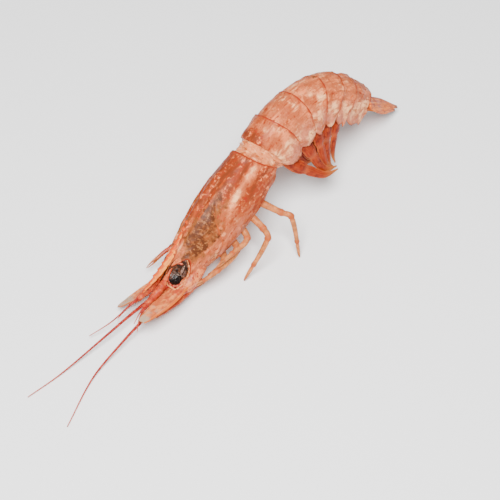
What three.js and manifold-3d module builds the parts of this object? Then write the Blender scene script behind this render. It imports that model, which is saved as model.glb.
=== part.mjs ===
// A whole raw shrimp in its shell, standing on its legs and its tucked tail. Sizes are in millimetres.
//
// Every piece is drawn in the animal's own frame: +X towards the head, +Y towards its left side,
// +Z towards its back, with the origin in the middle of the carapace's rear rim. The last lines turn
// the animal as it stands and put the part's origin under the middle of it.
import * as THREE from 'three';
import { mergeVertices } from 'three/addons/utils/BufferGeometryUtils.js';
import Module from 'manifold-3d';

const wasm = await Module();
wasm.setup();
const { lerp, smoothstep, clamp, degToRad } = THREE.MathUtils;

// ---------------------------------------------------------------- driving dimensions
const CARAPACE_LENGTH = 50; // rear rim to the eye sockets
const FACE_LENGTH = 15; // the soft front of the head, in front of the carapace
const ROSTRUM_LENGTH = 18; // past the eye sockets
const SEGMENT_LENGTHS = [16.3, 12.2, 12, 9, 9, 17.2];
const BORDER_LEAN = [2.3, 1.2, -1.8, -1.5, -1, 0]; // how far back each segment's rear edge lies on the sides
const TELSON_LENGTH = 22;
const UROPOD_LENGTH = 30;
const ABDOMEN_LENGTH = SEGMENT_LENGTHS.reduce((sum, length) => sum + length, 0);

const TAIL_DROP = degToRad(66); // how far the abdomen curls towards the belly
const CURL = [12, 65]; // the stretch of the abdomen where it curls
const TAIL_SWING = degToRad(17); // how far the tail swings to the right
const SWING = [14, 74];

const STAND_UP = new THREE.Vector3(-0.4, 0.43, 0.81).normalize(); // which way is up as it stands

const GAP = 0.35; // between touching pieces
const ROUND = 24; // sides of the body
const TUCK = 0.93; // how much slimmer the soft parts of the head are than the shell round them
const NECK_REAR = { back: 6.3, side: 8.1 }; // where the soft neck ends behind the carapace's rim

// ---------------------------------------------------------------- small tools
const vector = (x, y, z) => new THREE.Vector3(x, y, z);

// A smooth curve through [place, value] keys.
function through(keys) {
  const slopes = keys.map((key, i) => {
    const before = keys[Math.max(i - 1, 0)];
    const after = keys[Math.min(i + 1, keys.length - 1)];
    return (after[1] - before[1]) / (after[0] - before[0]);
  });
  return (place) => {
    const at = clamp(place, keys[0][0], keys.at(-1)[0]);
    const i = Math.max(1, keys.findIndex((key) => key[0] >= at));
    const [x0, y0] = keys[i - 1];
    const [x1, y1] = keys[i];
    const span = x1 - x0;
    const t = (at - x0) / span;
    const rise = t * t * (3 - 2 * t);
    return lerp(y0, y1, rise) + span * t * (1 - t) * ((1 - t) * slopes[i - 1] - t * slopes[i]);
  };
}

// A closed body made from a unit cylinder: at(along, angle, out) gives the place of a point that lies
// that share of the way along, at that angle from the back round to the left, and that share of the way out.
function body(steps, sides, at) {
  const geometry = new THREE.CylinderGeometry(1, 1, 1, sides, steps);
  const points = geometry.getAttribute('position');
  for (let i = 0; i < points.count; i++) {
    const out = Math.hypot(points.getX(i), points.getZ(i));
    const angle = out < 0.5 ? 0 : Math.atan2(points.getX(i), points.getZ(i));
    const along = 0.5 - points.getY(i);
    points.setXYZ(i, ...at(along, angle, out < 0.5 ? 0 : 1).toArray());
  }
  return geometry;
}

function solid(geometry) {
  const plain = geometry.clone();
  plain.deleteAttribute('normal');
  plain.deleteAttribute('uv');
  const merged = mergeVertices(plain, 1e-4);
  const triVerts = new Uint32Array(merged.index.array);
  const vertProperties = merged.getAttribute('position').array;
  const made = new wasm.Manifold(new wasm.Mesh({ numProp: 3, vertProperties, triVerts }));
  if (made.volume() > 0) return made;
  for (let i = 0; i < triVerts.length; i += 3) {
    [triVerts[i + 1], triVerts[i + 2]] = [triVerts[i + 2], triVerts[i + 1]];
  }
  return new wasm.Manifold(new wasm.Mesh({ numProp: 3, vertProperties, triVerts }));
}

// The largest piece of a solid, as a geometry.
function geometryOf(made) {
  const largest = made.decompose().sort((a, b) => b.volume() - a.volume())[0];
  const mesh = largest.getMesh();
  return new THREE.BufferGeometry()
    .setAttribute('position', new THREE.BufferAttribute(new Float32Array(mesh.vertProperties), 3))
    .setIndex(new THREE.BufferAttribute(new Uint32Array(mesh.triVerts), 1));
}

// ---------------------------------------------------------------- materials
const finish = (color, roughness) => new THREE.MeshStandardMaterial({ color, roughness, metalness: 0 });
const SHELL = finish(0xd9987a, 0.4);
const SOFT = finish(0xdcb49a, 0.5);
const LIMB = finish(0xc9753f, 0.45);
const LEG = finish(0xcf9a68, 0.45);
const EYE = finish(0x17100e, 0.2);
const WHIP = finish(0xc4392a, 0.4);
const FAN = finish(0xc25a34, 0.4);

const shrimp = new THREE.Group();

function add(name, made, material) {
  const mesh = new THREE.Mesh(made.isBufferGeometry ? made : geometryOf(made), material);
  mesh.name = name;
  shrimp.add(mesh);
}

// ---------------------------------------------------------------- the body's line
// Places along the body are counted from the carapace's rim: negative towards the head, positive
// towards the tail. The head's line is straight and the abdomen's curls.
const LINE_STEP = 0.5;
const line = [vector(0, 0, 0)];

function axesAt(place) {
  const drop = TAIL_DROP * smoothstep(place, ...CURL);
  const swing = TAIL_SWING * smoothstep(place, ...SWING);
  const forward = vector(Math.cos(drop) * Math.cos(swing), Math.sin(swing), Math.sin(drop) * Math.cos(swing));
  const up = vector(-Math.sin(drop), 0, Math.cos(drop));
  return { forward, up, left: up.clone().cross(forward) };
}

for (let place = 0; place < ABDOMEN_LENGTH + UROPOD_LENGTH; place += LINE_STEP) {
  line.push(line.at(-1).clone().addScaledVector(axesAt(place + LINE_STEP / 2).forward, -LINE_STEP));
}

function originAt(place) {
  if (place <= 0) return vector(-place, 0, 0);
  const i = Math.min(Math.floor(place / LINE_STEP), line.length - 2);
  return line[i].clone().lerp(line[i + 1], place / LINE_STEP - i);
}

// The point forward, left and up of the body's line at a place.
function pointAt(place, forward, left, up) {
  const axes = axesAt(place);
  return originAt(place)
    .addScaledVector(axes.forward, forward)
    .addScaledVector(axes.left, left)
    .addScaledVector(axes.up, up);
}

// ---------------------------------------------------------------- carapace
const headHalfWidth = through([[-5, 8.8], [6, 9.6], [18, 10.2], [32, 9.5], [42, 8], [50, 6.6], [58, 5], [66, 3.4]]);
const headTop = through([[-5, 10.8], [6, 11.6], [18, 12.2], [32, 11], [42, 9], [50, 7.2], [58, 4.8], [66, 2.2]]);
const headBottom = through([[-5, -10], [6, -12], [18, -12.8], [32, -11.6], [42, -9.4], [50, -7.2], [58, -5.2], [66, -2.6]]);

function headSection(x, angle, grow) {
  const middle = lerp(headBottom(x), headTop(x), 0.46);
  const across = Math.abs(Math.sin(angle)) ** 0.88 * Math.sign(Math.sin(angle));
  const above = Math.cos(angle);
  const reach = above > 0 ? headTop(x) - middle : middle - headBottom(x);
  const rise = Math.sign(above) * Math.abs(above) ** (above > 0 ? 1 : 0.8) * (reach + grow);
  return { y: across * (headHalfWidth(x) + grow), z: middle + rise, middle };
}

// The carapace's rear rim runs back down the sides and forward again underneath.
function rimAt(angle) {
  const above = Math.cos(angle);
  return -0.3 - 3.3 * (1 - Math.max(above, -0.3)) ** 1.6 + 10 * Math.max(-0.3 - above, 0);
}

// Rear and front edges are lines round the body: x for each angle.
function headPiece(steps, rear, front, grow = 0, squeeze = 1) {
  return body(steps, ROUND, (along, angle, out) => {
    const x = out ? lerp(rear(angle), front(angle), along) : lerp(rear(Math.PI / 2), front(Math.PI / 2), along);
    const { y, z, middle } = headSection(x, angle, grow);
    return vector(x, out * y * squeeze, lerp(middle, z, out * squeeze));
  });
}

// The right eye has sunk into the head.
const EYES = {
  left: { radius: 3.5, place: vector(54.5, 6.1, 3.6) },
  right: { radius: 3, place: vector(54.3, -4.9, 2.8) },
};

function eyeball({ radius, place }, grow = 0) {
  return solid(new THREE.SphereGeometry(radius + grow, 12, 8).translate(...place.toArray()));
}

const withoutEyes = (made) => Object.values(EYES).reduce((left, eye) => left.subtract(eyeball(eye, GAP)), made);

// The carapace's front edge runs back round each eye socket and forward to the cheek below it.
const frontEdge = (angle) => CARAPACE_LENGTH + 1.5 * Math.cos(angle) - 2 * Math.sin(angle) ** 2;

const BLADE_THICKNESS = 1.6;

// A saw-toothed blade that rises from the middle of the back and runs out over the face.
function rostrum() {
  const start = 34;
  const tip = CARAPACE_LENGTH + ROSTRUM_LENGTH;
  const teeth = 8;
  const crest = through([[start, 10.8], [42, 9.4], [50, 8.6], [tip, 8.4]]);
  const keel = through([[start, 9.6], [44, 7.4], [54, 6], [62, 6.8], [tip, 7.8]]);
  const side = new THREE.Shape();
  side.moveTo(start, keel(start));
  for (let i = 1; i <= teeth; i++) side.lineTo(lerp(start, tip, i / teeth), keel(lerp(start, tip, i / teeth)));
  for (let i = teeth; i > 0; i--) {
    const x = lerp(start + 4, tip - 3, i / teeth);
    side.lineTo(x, crest(x) + 0.8);
    side.lineTo(x - 1.1, crest(x - 1.1) + 0.1);
  }
  side.lineTo(start, crest(start));
  const blade = new THREE.ExtrudeGeometry(side, { depth: BLADE_THICKNESS, bevelEnabled: false });
  return solid(blade.translate(0, 0, -BLADE_THICKNESS / 2).rotateX(Math.PI / 2));
}

const carapaceBody = solid(headPiece(13, rimAt, frontEdge));
const face = solid(headPiece(4, (angle) => frontEdge(angle) + GAP, () => CARAPACE_LENGTH + FACE_LENGTH, 0, TUCK));
const blade = rostrum();
const bladeRoom = solid(new THREE.BoxGeometry(40, BLADE_THICKNESS + 2 * GAP, 9).translate(62, 0, 10));
add('carapace', withoutEyes(carapaceBody.add(blade)), SHELL);
add('face', withoutEyes(face.subtract(bladeRoom)), SOFT);
for (const [name, eye] of Object.entries(EYES)) add(`eye_${name}`, eyeball(eye), EYE);

const neckRear = (angle) => -lerp(NECK_REAR.side, NECK_REAR.back, Math.max(Math.cos(angle), 0));
const carapaceRoom = solid(headPiece(4, (angle) => rimAt(angle) - GAP, () => CARAPACE_LENGTH, GAP));
const neck = solid(headPiece(2, neckRear, (angle) => rimAt(angle) - GAP, 0, TUCK));
add('neck', neck.subtract(carapaceRoom), SOFT);

// What the limbs of the head are trimmed to.
const headRoom = solid(headPiece(14, rimAt, () => CARAPACE_LENGTH + FACE_LENGTH + GAP, GAP));

// ---------------------------------------------------------------- abdomen
const halfWidth = through([[0, 9], [14, 9.5], [30, 9], [50, 8.3], [67, 6.8], [78, 5.6], [87, 3.8]]);
const backHeight = through([[0, 11.2], [12, 11.7], [30, 9.9], [50, 9], [67, 7.1], [78, 6], [87, 4.4]]);
const sideDrop = through([[0, 11.2], [30, 12.2], [50, 11.6], [62, 11], [72, 9.8], [80, 7.6], [87, 4.6]]);
const bellyDepth = through([[0, 8.4], [50, 7.4], [67, 6.2], [87, 4.2]]);
const LOBE_TIP = 0.75 * Math.PI; // the angle of the side plates' lower edge

// One ring of the abdomen: an arched back, side plates that hang down, and a belly between them.
function ringPoint(angle, place, lobe, grow) {
  const around = Math.abs(angle);
  const side = Math.sign(angle);
  const wide = halfWidth(place) + grow;
  const drop = sideDrop(place) * lobe + grow;
  if (around <= Math.PI / 2) {
    const high = backHeight(place) + grow;
    return [side * wide * Math.sin(around) ** 0.9, high * Math.cos(around) ** 0.9];
  }
  if (around <= LOBE_TIP) {
    const t = (around - Math.PI / 2) / (LOBE_TIP - Math.PI / 2);
    return [side * wide * (1 - 0.15 * t * t), -drop * t];
  }
  const t = (around - LOBE_TIP) / (Math.PI - LOBE_TIP);
  return [side * wide * 0.85 * (1 - t), lerp(-drop, -bellyDepth(place) - grow, smoothstep(t, 0, 0.5))];
}

const segmentStart = (i) => SEGMENT_LENGTHS.slice(0, i).reduce((sum, length) => sum + length, 0);

function segment(i, grow = 0) {
  const start = segmentStart(i);
  const end = start + SEGMENT_LENGTHS[i];
  const last = i === SEGMENT_LENGTHS.length - 1;
  const lean = (border, angle) => BORDER_LEAN[border] * (1 - Math.max(Math.cos(angle), 0));
  return body(5, ROUND, (along, angle, out) => {
    const front = i === 0 ? -neckRear(angle) + GAP : start + GAP / 2 + lean(i - 1, angle);
    const place = lerp(front - grow, end - GAP / 2 + lean(i, angle) + grow, along);
    const flare = last ? 0 : lerp(-0.7, 0.3, smoothstep(along, 0, 0.4));
    const lobe = last ? 1 : 0.74 + 0.26 * (1 - Math.abs(2 * along - 1) ** 2.5);
    const [y, z] = ringPoint(angle, place, lobe, flare + grow);
    return pointAt(place, 0, out * y, out * z);
  });
}

const neckRoom = solid(headPiece(2, (angle) => neckRear(angle) - GAP, rimAt, GAP, TUCK));
const segments = SEGMENT_LENGTHS.map((_, i) => solid(segment(i)));
segments[0] = segments[0].subtract(neckRoom);
segments.forEach((made, i) => add(`abdomen_${i + 1}`, made, SHELL));

// ---------------------------------------------------------------- tail fan
// A leaf that lies flat: X along it, Y across it. Shoulder and tip are shares of its width near its end.
function leaf(length, width, thickness, shoulder, tipShare) {
  const outline = new THREE.Shape();
  const half = width / 2;
  outline.moveTo(0, -half * 0.45);
  outline.bezierCurveTo(length * 0.3, -half * 1.25, length * 0.7, -half * shoulder, length, -half * tipShare);
  outline.quadraticCurveTo(length + half * tipShare, 0, length, half * tipShare);
  outline.bezierCurveTo(length * 0.7, half * shoulder, length * 0.3, half * 1.25, 0, half * 0.45);
  outline.closePath();
  const rounding = { bevelThickness: thickness * 0.25, bevelSize: 0.3, bevelOffset: -0.3, bevelSegments: 1 };
  const made = new THREE.ExtrudeGeometry(outline, { depth: thickness * 0.5, curveSegments: 4, ...rounding });
  return made.translate(0, 0, -thickness * 0.25);
}

// Lays a leaf behind a point of the body's line, rolled about its length, turned to a side and tipped down.
function layLeaf(geometry, left, up, roll, turn, tip) {
  const place = ABDOMEN_LENGTH + GAP;
  const axes = axesAt(place);
  const frame = new THREE.Matrix4().makeBasis(axes.forward.clone().negate(), axes.left.clone().negate(), axes.up);
  frame.setPosition(pointAt(place, 0, left, up));
  const turned = new THREE.Matrix4().makeRotationZ(degToRad(turn));
  turned.multiply(new THREE.Matrix4().makeRotationY(degToRad(tip)));
  turned.multiply(new THREE.Matrix4().makeRotationX(degToRad(roll)));
  return solid(geometry.applyMatrix4(turned).applyMatrix4(frame));
}

// The closed fan: the side plates hang from the middle one like a folded roof. Each is trimmed to the ones
// above it. Length, width, thickness, left, up, roll, turn and tip of each.
const FAN_PLATES = {
  telson: [TELSON_LENGTH, 6.4, 2, 0, 2.4, 0, 4, 3],
  uropod_inner_left: [UROPOD_LENGTH, 6.4, 1.1, 4.2, 0.6, 50, 1.3, -1.7],
  uropod_outer_left: [UROPOD_LENGTH * 0.97, 6, 1.1, 6.4, -0.6, 62, 5.8, -0.8],
  uropod_inner_right: [UROPOD_LENGTH * 0.97, 6.4, 1.1, -4.2, 0.6, -50, -2.7, 2],
  uropod_outer_right: [UROPOD_LENGTH * 0.97, 6, 1.1, -6.4, -0.6, -62, -4.6, 5],
};
const fanRoom = [];
for (const [name, [length, width, thickness, ...lie]] of Object.entries(FAN_PLATES)) {
  const made = layLeaf(leaf(length, width, thickness, 0.8, 0.2), ...lie);
  add(name, fanRoom.reduce((left, other) => left.subtract(other), made), FAN);
  fanRoom.push(layLeaf(leaf(length, width + 2 * GAP, thickness + 2 * GAP, 0.8, 0.25), ...lie));
}

// How far the lowest point of a piece is along the way up.
function lowest(mesh) {
  const points = mesh.geometry.getAttribute('position');
  const heights = Array.from({ length: points.count }, (_, i) => (
    new THREE.Vector3().fromBufferAttribute(points, i).dot(STAND_UP)
  ));
  return Math.min(...heights);
}

// ---------------------------------------------------------------- limbs
const X_AXIS = vector(1, 0, 0);

// A bent, tapered rod through points. Width and depth say how thick it is at a share of its length.
function limb(points, steps, sides, width, depth, wideAxis) {
  const path = new THREE.CatmullRomCurve3(points, false, 'centripetal');
  return body(steps, sides, (along, angle, out) => {
    const centre = path.getPointAt(along);
    const run = path.getTangentAt(along);
    const across = wideAxis.clone().addScaledVector(run, -wideAxis.dot(run)).normalize();
    const deep = run.clone().cross(across);
    return centre
      .addScaledVector(across, out * Math.sin(angle) * width(along))
      .addScaledVector(deep, out * Math.cos(angle) * depth(along));
  });
}

const taper = (root, tip) => (along) => lerp(root, tip, along);

// Adds a limb, cut clear of what it grows from and of the limbs made before it.
const limbs = [];
function addLimb(name, material, room, points, steps, sides, width, depth = width, wideAxis = X_AXIS) {
  const wider = (size) => (along) => size(along) + GAP;
  const made = solid(limb(points, steps, sides, width, depth, wideAxis)).subtract(room);
  const clear = limbs.reduce((left, other) => left.subtract(other), made);
  limbs.push(solid(limb(points, steps, sides, wider(width), wider(depth), wideAxis)));
  add(name, clear, material);
}

// Five pairs of swimmerets hang from the abdomen: a stout stem, then a blade. They draw together into one
// bundle. Each route is x and z of its points, and tipOut is how far its tip lies from the bundle's middle.
const SWIMMERETS = [
  { place: 10.8, route: [[-10.8, -6.8], [-11.8, -13.5], [-13.4, -18.5], [-15.2, -24], [-18, -30], [-23.5, -33.6]], tipOut: 8.4 },
  { place: 21.6, route: [[-20.9, -7.1], [-21.1, -13.5], [-20.6, -18.5], [-19.6, -24.5], [-20.4, -30], [-24.4, -33.4]], tipOut: 6.8 },
  { place: 33.5, route: [[-30.4, -9.4], [-28, -16], [-25.6, -21], [-23, -27], [-22.2, -31], [-24, -34.2]], tipOut: 5.2 },
  { place: 44.4, route: [[-37.6, -13.8], [-33.4, -19], [-28.8, -24], [-25.4, -29], [-23.6, -32.6], [-24.4, -36]], tipOut: 3.6 },
  { place: 53.4, route: [[-42.2, -19.4], [-38.4, -23], [-34, -26.6], [-30.6, -29.5], [-28, -32.5], [-26.5, -36]], tipOut: 2 },
];
const ROOT_OUT = 5;
const BUNDLE_MIDDLE = -1.2;
const abdomenRoom = SEGMENT_LENGTHS.map((_, i) => solid(segment(i, GAP))).reduce((sum, made) => sum.add(made));
for (const [name, side] of [['left', 1], ['right', -1]]) {
  SWIMMERETS.forEach(({ place, route, tipOut }, i) => {
    const axes = axesAt(place);
    const rootY = originAt(place).y + side * ROOT_OUT;
    const points = route.map(([x, z], n) => (
      vector(x, lerp(rootY, BUNDLE_MIDDLE + side * tipOut, n / (route.length - 1)), z)
    ));
    const width = through([[0, 2.4], [0.3, 2.7], [0.42, 2], [0.7, 1.5], [1, 0.7]]);
    const depth = through([[0, 0.9], [0.3, 0.9], [0.42, 0.6], [1, 0.4]]);
    addLimb(`pleopod_${i + 1}_${name}`, LIMB, abdomenRoom, points, 8, 8, width, depth, axes.forward);
  });
}

// The floor lies under the lowest point of the tail fan. onFloor gives the point over it at x and y.
const FLOOR = Math.min(...Object.keys(FAN_PLATES).map((name) => lowest(shrimp.getObjectByName(name))));
const onFloor = (x, y, above) => vector(x, y, (FLOOR + above - x * STAND_UP.x - y * STAND_UP.y) / STAND_UP.z);

// The walking legs. The first three pairs fold forward under the head; the last two reach the floor.
const FOOT_RADIUS = 0.6;
const LEGS = {
  leg_1_left: [vector(34, 4, -8), vector(38, 5.5, -12.5), vector(46, 3.8, -12.4), vector(53, 2, -11.2)],
  leg_2_left: [vector(28, 4, -8), vector(31, 7.2, -13.2), vector(43, 8.5, -10), vector(54, 6.8, -5.8)],
  leg_3_left: [vector(22, 4, -8), vector(25, 9, -12.6), vector(34, 10.2, -9.6), vector(42, 10.8, -6.6)],
  leg_4_left: [vector(16, 4, -8), vector(18, 12, -14), vector(20.5, 16, -15.5), onFloor(38.8, 7.9, FOOT_RADIUS)],
  leg_5_left: [vector(10, 4, -8), vector(8, 12, -17), vector(7, 15, -20), onFloor(16.8, 12.9, FOOT_RADIUS)],
  leg_1_right: [vector(34, -4, -8), vector(38, -5.5, -12.5), vector(46, -3.8, -12.4), vector(53, -2, -11.2)],
  leg_2_right: [vector(28, -4, -8), vector(32, -11.5, -11), vector(45, -12.6, -0.4), vector(58, -15.2, 1.8)],
  leg_3_right: [vector(22, -4, -8), vector(25, -9, -14.2), vector(34, -9.5, -13.8), vector(43, -9, -12)],
  leg_4_right: [vector(16, -4, -8), vector(17, -11.5, -12.5), vector(18.5, -15.5, -13), onFloor(27, -18, FOOT_RADIUS)],
  leg_5_right: [vector(10, -4, -8), vector(7, -11.5, -12.5), vector(4, -16.5, -13), onFloor(2, -21, FOOT_RADIUS)],
};
for (const [name, points] of Object.entries(LEGS)) {
  const thick = through([[0, 1.9], [0.4, 1.5], [0.75, 1.15], [1, FOOT_RADIUS]]);
  addLimb(name, LEG, headRoom, points, 9, 8, thick);
}

// Two leg-like mouthparts lie along the underside of the face.
for (const [name, side] of [['left', 1], ['right', -1]]) {
  const points = [
    vector(44, side * 2.6, -6),
    vector(51, side * 3.3, -8.4),
    vector(62, side * 4.6, -5.4),
    vector(73, side * 6.4, 0.4),
  ];
  addLimb(`maxilliped_${name}`, LIMB, headRoom, points, 8, 8, taper(1.7, 0.6));
}

// ---------------------------------------------------------------- feelers
// Each side has a leaf-shaped scale, a short feeler and a long whip.
const SCALE = { length: 24, width: 8.2, rise: degToRad(24), spread: degToRad(7) };
for (const [name, side] of [['left', 1], ['right', -1]]) {
  const scale = leaf(SCALE.length, SCALE.width, 1.4, 1.2, 0.45);
  scale.rotateY(-SCALE.rise).rotateZ(side * SCALE.spread).translate(CARAPACE_LENGTH + 6, side * 5.6, -2.4);
  add(`scale_${name}`, solid(scale).subtract(headRoom), SOFT);
}

const whip = (root, tip) => (along) => lerp(root, tip, along ** 0.6);
const FEELERS = {
  antennule_left: [vector(60, 2.6, 2), vector(67, 2.9, 4.6), vector(73, 3.4, 6.4), vector(80, 5, 6.8)],
  antennule_right: [
    vector(60, -2.6, 2),
    vector(67, -2.9, 4.6),
    vector(74, -2.4, 7.6),
    vector(84.6, -4.2, 9.4),
    vector(94, -7.2, 11.9),
  ],
  antenna_left: [
    vector(58, 3.4, -3.6),
    vector(68, 3.4, 0.4),
    vector(76, 3.9, 3),
    vector(89, 4.1, 5.5),
    vector(106.3, 6.3, 9),
    vector(126.6, 16.2, 13.6),
  ],
  antenna_right: [
    vector(58, -3.4, -3.6),
    vector(68, -3.4, 0.4),
    vector(78, -1.6, 5.6),
    vector(88, -1.1, 9.2),
    vector(112.3, -2.2, 16.4),
    vector(126.6, -2, 23.2),
  ],
};
for (const [name, points] of Object.entries(FEELERS)) {
  addLimb(name, WHIP, headRoom, points, 14, 6, whip(1.3, 0.35));
}

// ---------------------------------------------------------------- as it stands
const towardsTail = vector(-1, 0, 0).addScaledVector(STAND_UP, STAND_UP.x).normalize();
const towardsRight = STAND_UP.clone().cross(towardsTail);
const stand = new THREE.Matrix4().makeBasis(towardsTail, towardsRight, STAND_UP).transpose();
shrimp.applyMatrix4(stand);
shrimp.updateMatrixWorld(true);
const box = new THREE.Box3().setFromObject(shrimp, true);
const middle = box.getCenter(vector(0, 0, 0));
shrimp.position.set(-middle.x, -middle.y, -box.min.z);

const part = new THREE.Group();
part.add(shrimp);
export default part;
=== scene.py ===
"""The looks of a whole raw shrimp: a wet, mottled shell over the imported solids, with feelers, legs and fan.

Every piece is drawn in the animal's own frame, in millimetres: +X towards the head, +Y towards its left
side, +Z towards its back, with the origin in the middle of the carapace's rear rim. TO_WORLD then puts
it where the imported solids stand.
"""

from math import atan2, copysign, cos, exp, pi, radians, sin, tau

import bmesh
import bpy
from mathutils import Matrix, Vector, noise


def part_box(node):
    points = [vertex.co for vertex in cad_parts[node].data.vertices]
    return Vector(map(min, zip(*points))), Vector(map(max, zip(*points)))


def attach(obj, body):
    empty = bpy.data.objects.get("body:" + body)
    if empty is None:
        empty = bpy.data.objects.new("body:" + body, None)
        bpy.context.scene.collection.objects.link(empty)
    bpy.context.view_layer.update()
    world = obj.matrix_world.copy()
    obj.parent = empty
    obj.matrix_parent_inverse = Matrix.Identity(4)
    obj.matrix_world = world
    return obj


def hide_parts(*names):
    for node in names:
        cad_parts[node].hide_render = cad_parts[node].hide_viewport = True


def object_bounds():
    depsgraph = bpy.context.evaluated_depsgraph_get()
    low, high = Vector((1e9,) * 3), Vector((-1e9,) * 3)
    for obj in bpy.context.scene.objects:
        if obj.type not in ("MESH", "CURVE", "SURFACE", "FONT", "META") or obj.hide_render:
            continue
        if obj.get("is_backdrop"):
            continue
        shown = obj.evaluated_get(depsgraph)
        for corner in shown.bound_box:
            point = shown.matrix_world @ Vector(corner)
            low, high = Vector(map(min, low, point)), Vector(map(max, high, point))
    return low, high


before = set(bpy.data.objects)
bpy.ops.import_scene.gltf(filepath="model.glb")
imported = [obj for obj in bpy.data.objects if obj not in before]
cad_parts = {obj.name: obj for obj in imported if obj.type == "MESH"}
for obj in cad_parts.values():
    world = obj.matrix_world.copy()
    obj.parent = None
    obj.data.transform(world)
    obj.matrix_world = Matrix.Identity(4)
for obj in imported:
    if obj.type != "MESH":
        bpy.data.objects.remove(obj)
cad_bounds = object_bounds()

# ---------------- sizes, in millimetres
MM = 0.001
CARAPACE_LENGTH = 50
FACE_LENGTH = 15
ROSTRUM_LENGTH = 18
SEGMENT_LENGTHS = [16.3, 12.2, 12, 9, 9, 17.2]
BORDER_LEAN = [2.3, 1.2, -1.8, -1.5, -1, 0]  # how far back each segment's rear edge lies on the sides
ABDOMEN_LENGTH = sum(SEGMENT_LENGTHS)
TELSON_LENGTH = 22
UROPOD_LENGTH = 30
TAIL_DROP = radians(66)
CURL = (12, 65)  # the stretch of the abdomen over which it bends down
TAIL_SWING = radians(17)
SWING = (14, 74)  # and the stretch over which it swings to the right
STAND_UP = Vector((-0.4, 0.43, 0.81)).normalized()  # the world's up
NECK_REAR = {"back": 6.3, "side": 8.1}  # where the soft neck ends behind the carapace's rim
# The right eye has sunk into the head.
EYES = {"left": (3.5, Vector((54.5, 6.1, 3.6))), "right": (3, Vector((54.3, -4.9, 2.8)))}
SIDES = (("left", 1), ("right", -1))


# ---------------- small tools
def lerp(low, high, share):
    return low + (high - low) * share


def clamp(value, low=0, high=1):
    return min(max(value, low), high)


def ramp(value, low, high):
    """0 below low, 1 above high, and smooth between them. low may be the larger."""
    share = clamp((value - low) / (high - low))
    return share * share * (3 - 2 * share)


def bent(value, power):
    """A value from -1 to 1 raised to a power, with its sign kept."""
    return copysign(abs(value) ** power, value)


def bump(value, middle, width):
    """A smooth hump of height 1 round middle."""
    return exp(-(((value - middle) / width) ** 2))


def through(keys):
    """A smooth curve through (place, value) keys."""
    last = len(keys) - 1
    slopes = []
    for i in range(len(keys)):
        before, after = keys[max(i - 1, 0)], keys[min(i + 1, last)]
        slopes.append((after[1] - before[1]) / (after[0] - before[0]))

    def curve(place):
        at = clamp(place, keys[0][0], keys[last][0])
        i = next(n for n in range(1, last + 1) if keys[n][0] >= at)
        (x0, y0), (x1, y1) = keys[i - 1], keys[i]
        span = x1 - x0
        t = (at - x0) / span
        rise = t * t * (3 - 2 * t)
        return lerp(y0, y1, rise) + span * t * (1 - t) * ((1 - t) * slopes[i - 1] - t * slopes[i])

    return curve


def unevenness(point, size, seed=0.0):
    """Smooth noise from about -1 to 1, whose lumps are size millimetres across."""
    return noise.fractal(point / size + Vector((seed, 7.3 * seed, -seed)), 1.0, 2.0, 3)


# ---------------- where the animal stands
towards_tail = (Vector((-1, 0, 0)) + STAND_UP * STAND_UP.x).normalized()
towards_right = STAND_UP.cross(towards_tail)
STANCE = Matrix((towards_tail, towards_right, STAND_UP))
eye_low, eye_high = (Vector(corner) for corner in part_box("eye_left"))
SHIFT = (eye_low + eye_high) / 2 - STANCE @ EYES["left"][1] * MM
TO_WORLD = Matrix.Translation(SHIFT) @ STANCE.to_4x4() @ Matrix.Scale(MM, 4)
FLOOR = -SHIFT.z / MM


# ---------------- the body's line
LINE_STEP = 0.5


def axes_at(place):
    """The forward, left and up directions at a place, counted from the carapace's rim to the rear."""
    drop = TAIL_DROP * ramp(place, *CURL)
    swing = TAIL_SWING * ramp(place, *SWING)
    forward = Vector((cos(drop) * cos(swing), sin(swing), sin(drop) * cos(swing)))
    up = Vector((-sin(drop), 0, cos(drop)))
    return forward, up.cross(forward), up


line = [Vector((0, 0, 0))]
while len(line) * LINE_STEP < ABDOMEN_LENGTH + UROPOD_LENGTH + 2:
    line.append(line[-1] - axes_at((len(line) - 0.5) * LINE_STEP)[0] * LINE_STEP)


def point_at(place, forward, left, up):
    """The point forward, left and up of the body's line at a place."""
    ahead, leftwards, upwards = axes_at(place)
    i = min(int(max(place, 0) / LINE_STEP), len(line) - 2)
    origin = line[i].lerp(line[i + 1], place / LINE_STEP - i) if place > 0 else Vector((-place, 0, 0))
    return origin + ahead * forward + leftwards * left + upwards * up


# ---------------- skins
# along: share of the piece's length. back: 1 on the back, -1 on the belly. rim, seam: millimetres from the
# nearest red edge and orange line. stain: how much pigment shows, lowered on the carapace by a painted
# highlight band. dusk: how much of a second tone shows: liver and brown smudges on the shell, darker brown
# towards the eye hollows on the face, grey film on the eye. length, girth: millimetres along and round the piece.
MARKS = ("along", "back", "rim", "seam", "stain", "dusk", "length", "girth")
UPWARDS = Vector((0, 0, 1))
FAR = 9  # millimetres, past the reach of any coloured line
HAIR_TIP = 0.12  # how thick a hair's tip is, as a share of its root


def mark_layers(skin):
    return {mark: skin.verts.layers.float.new(mark) for mark in MARKS}


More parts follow.
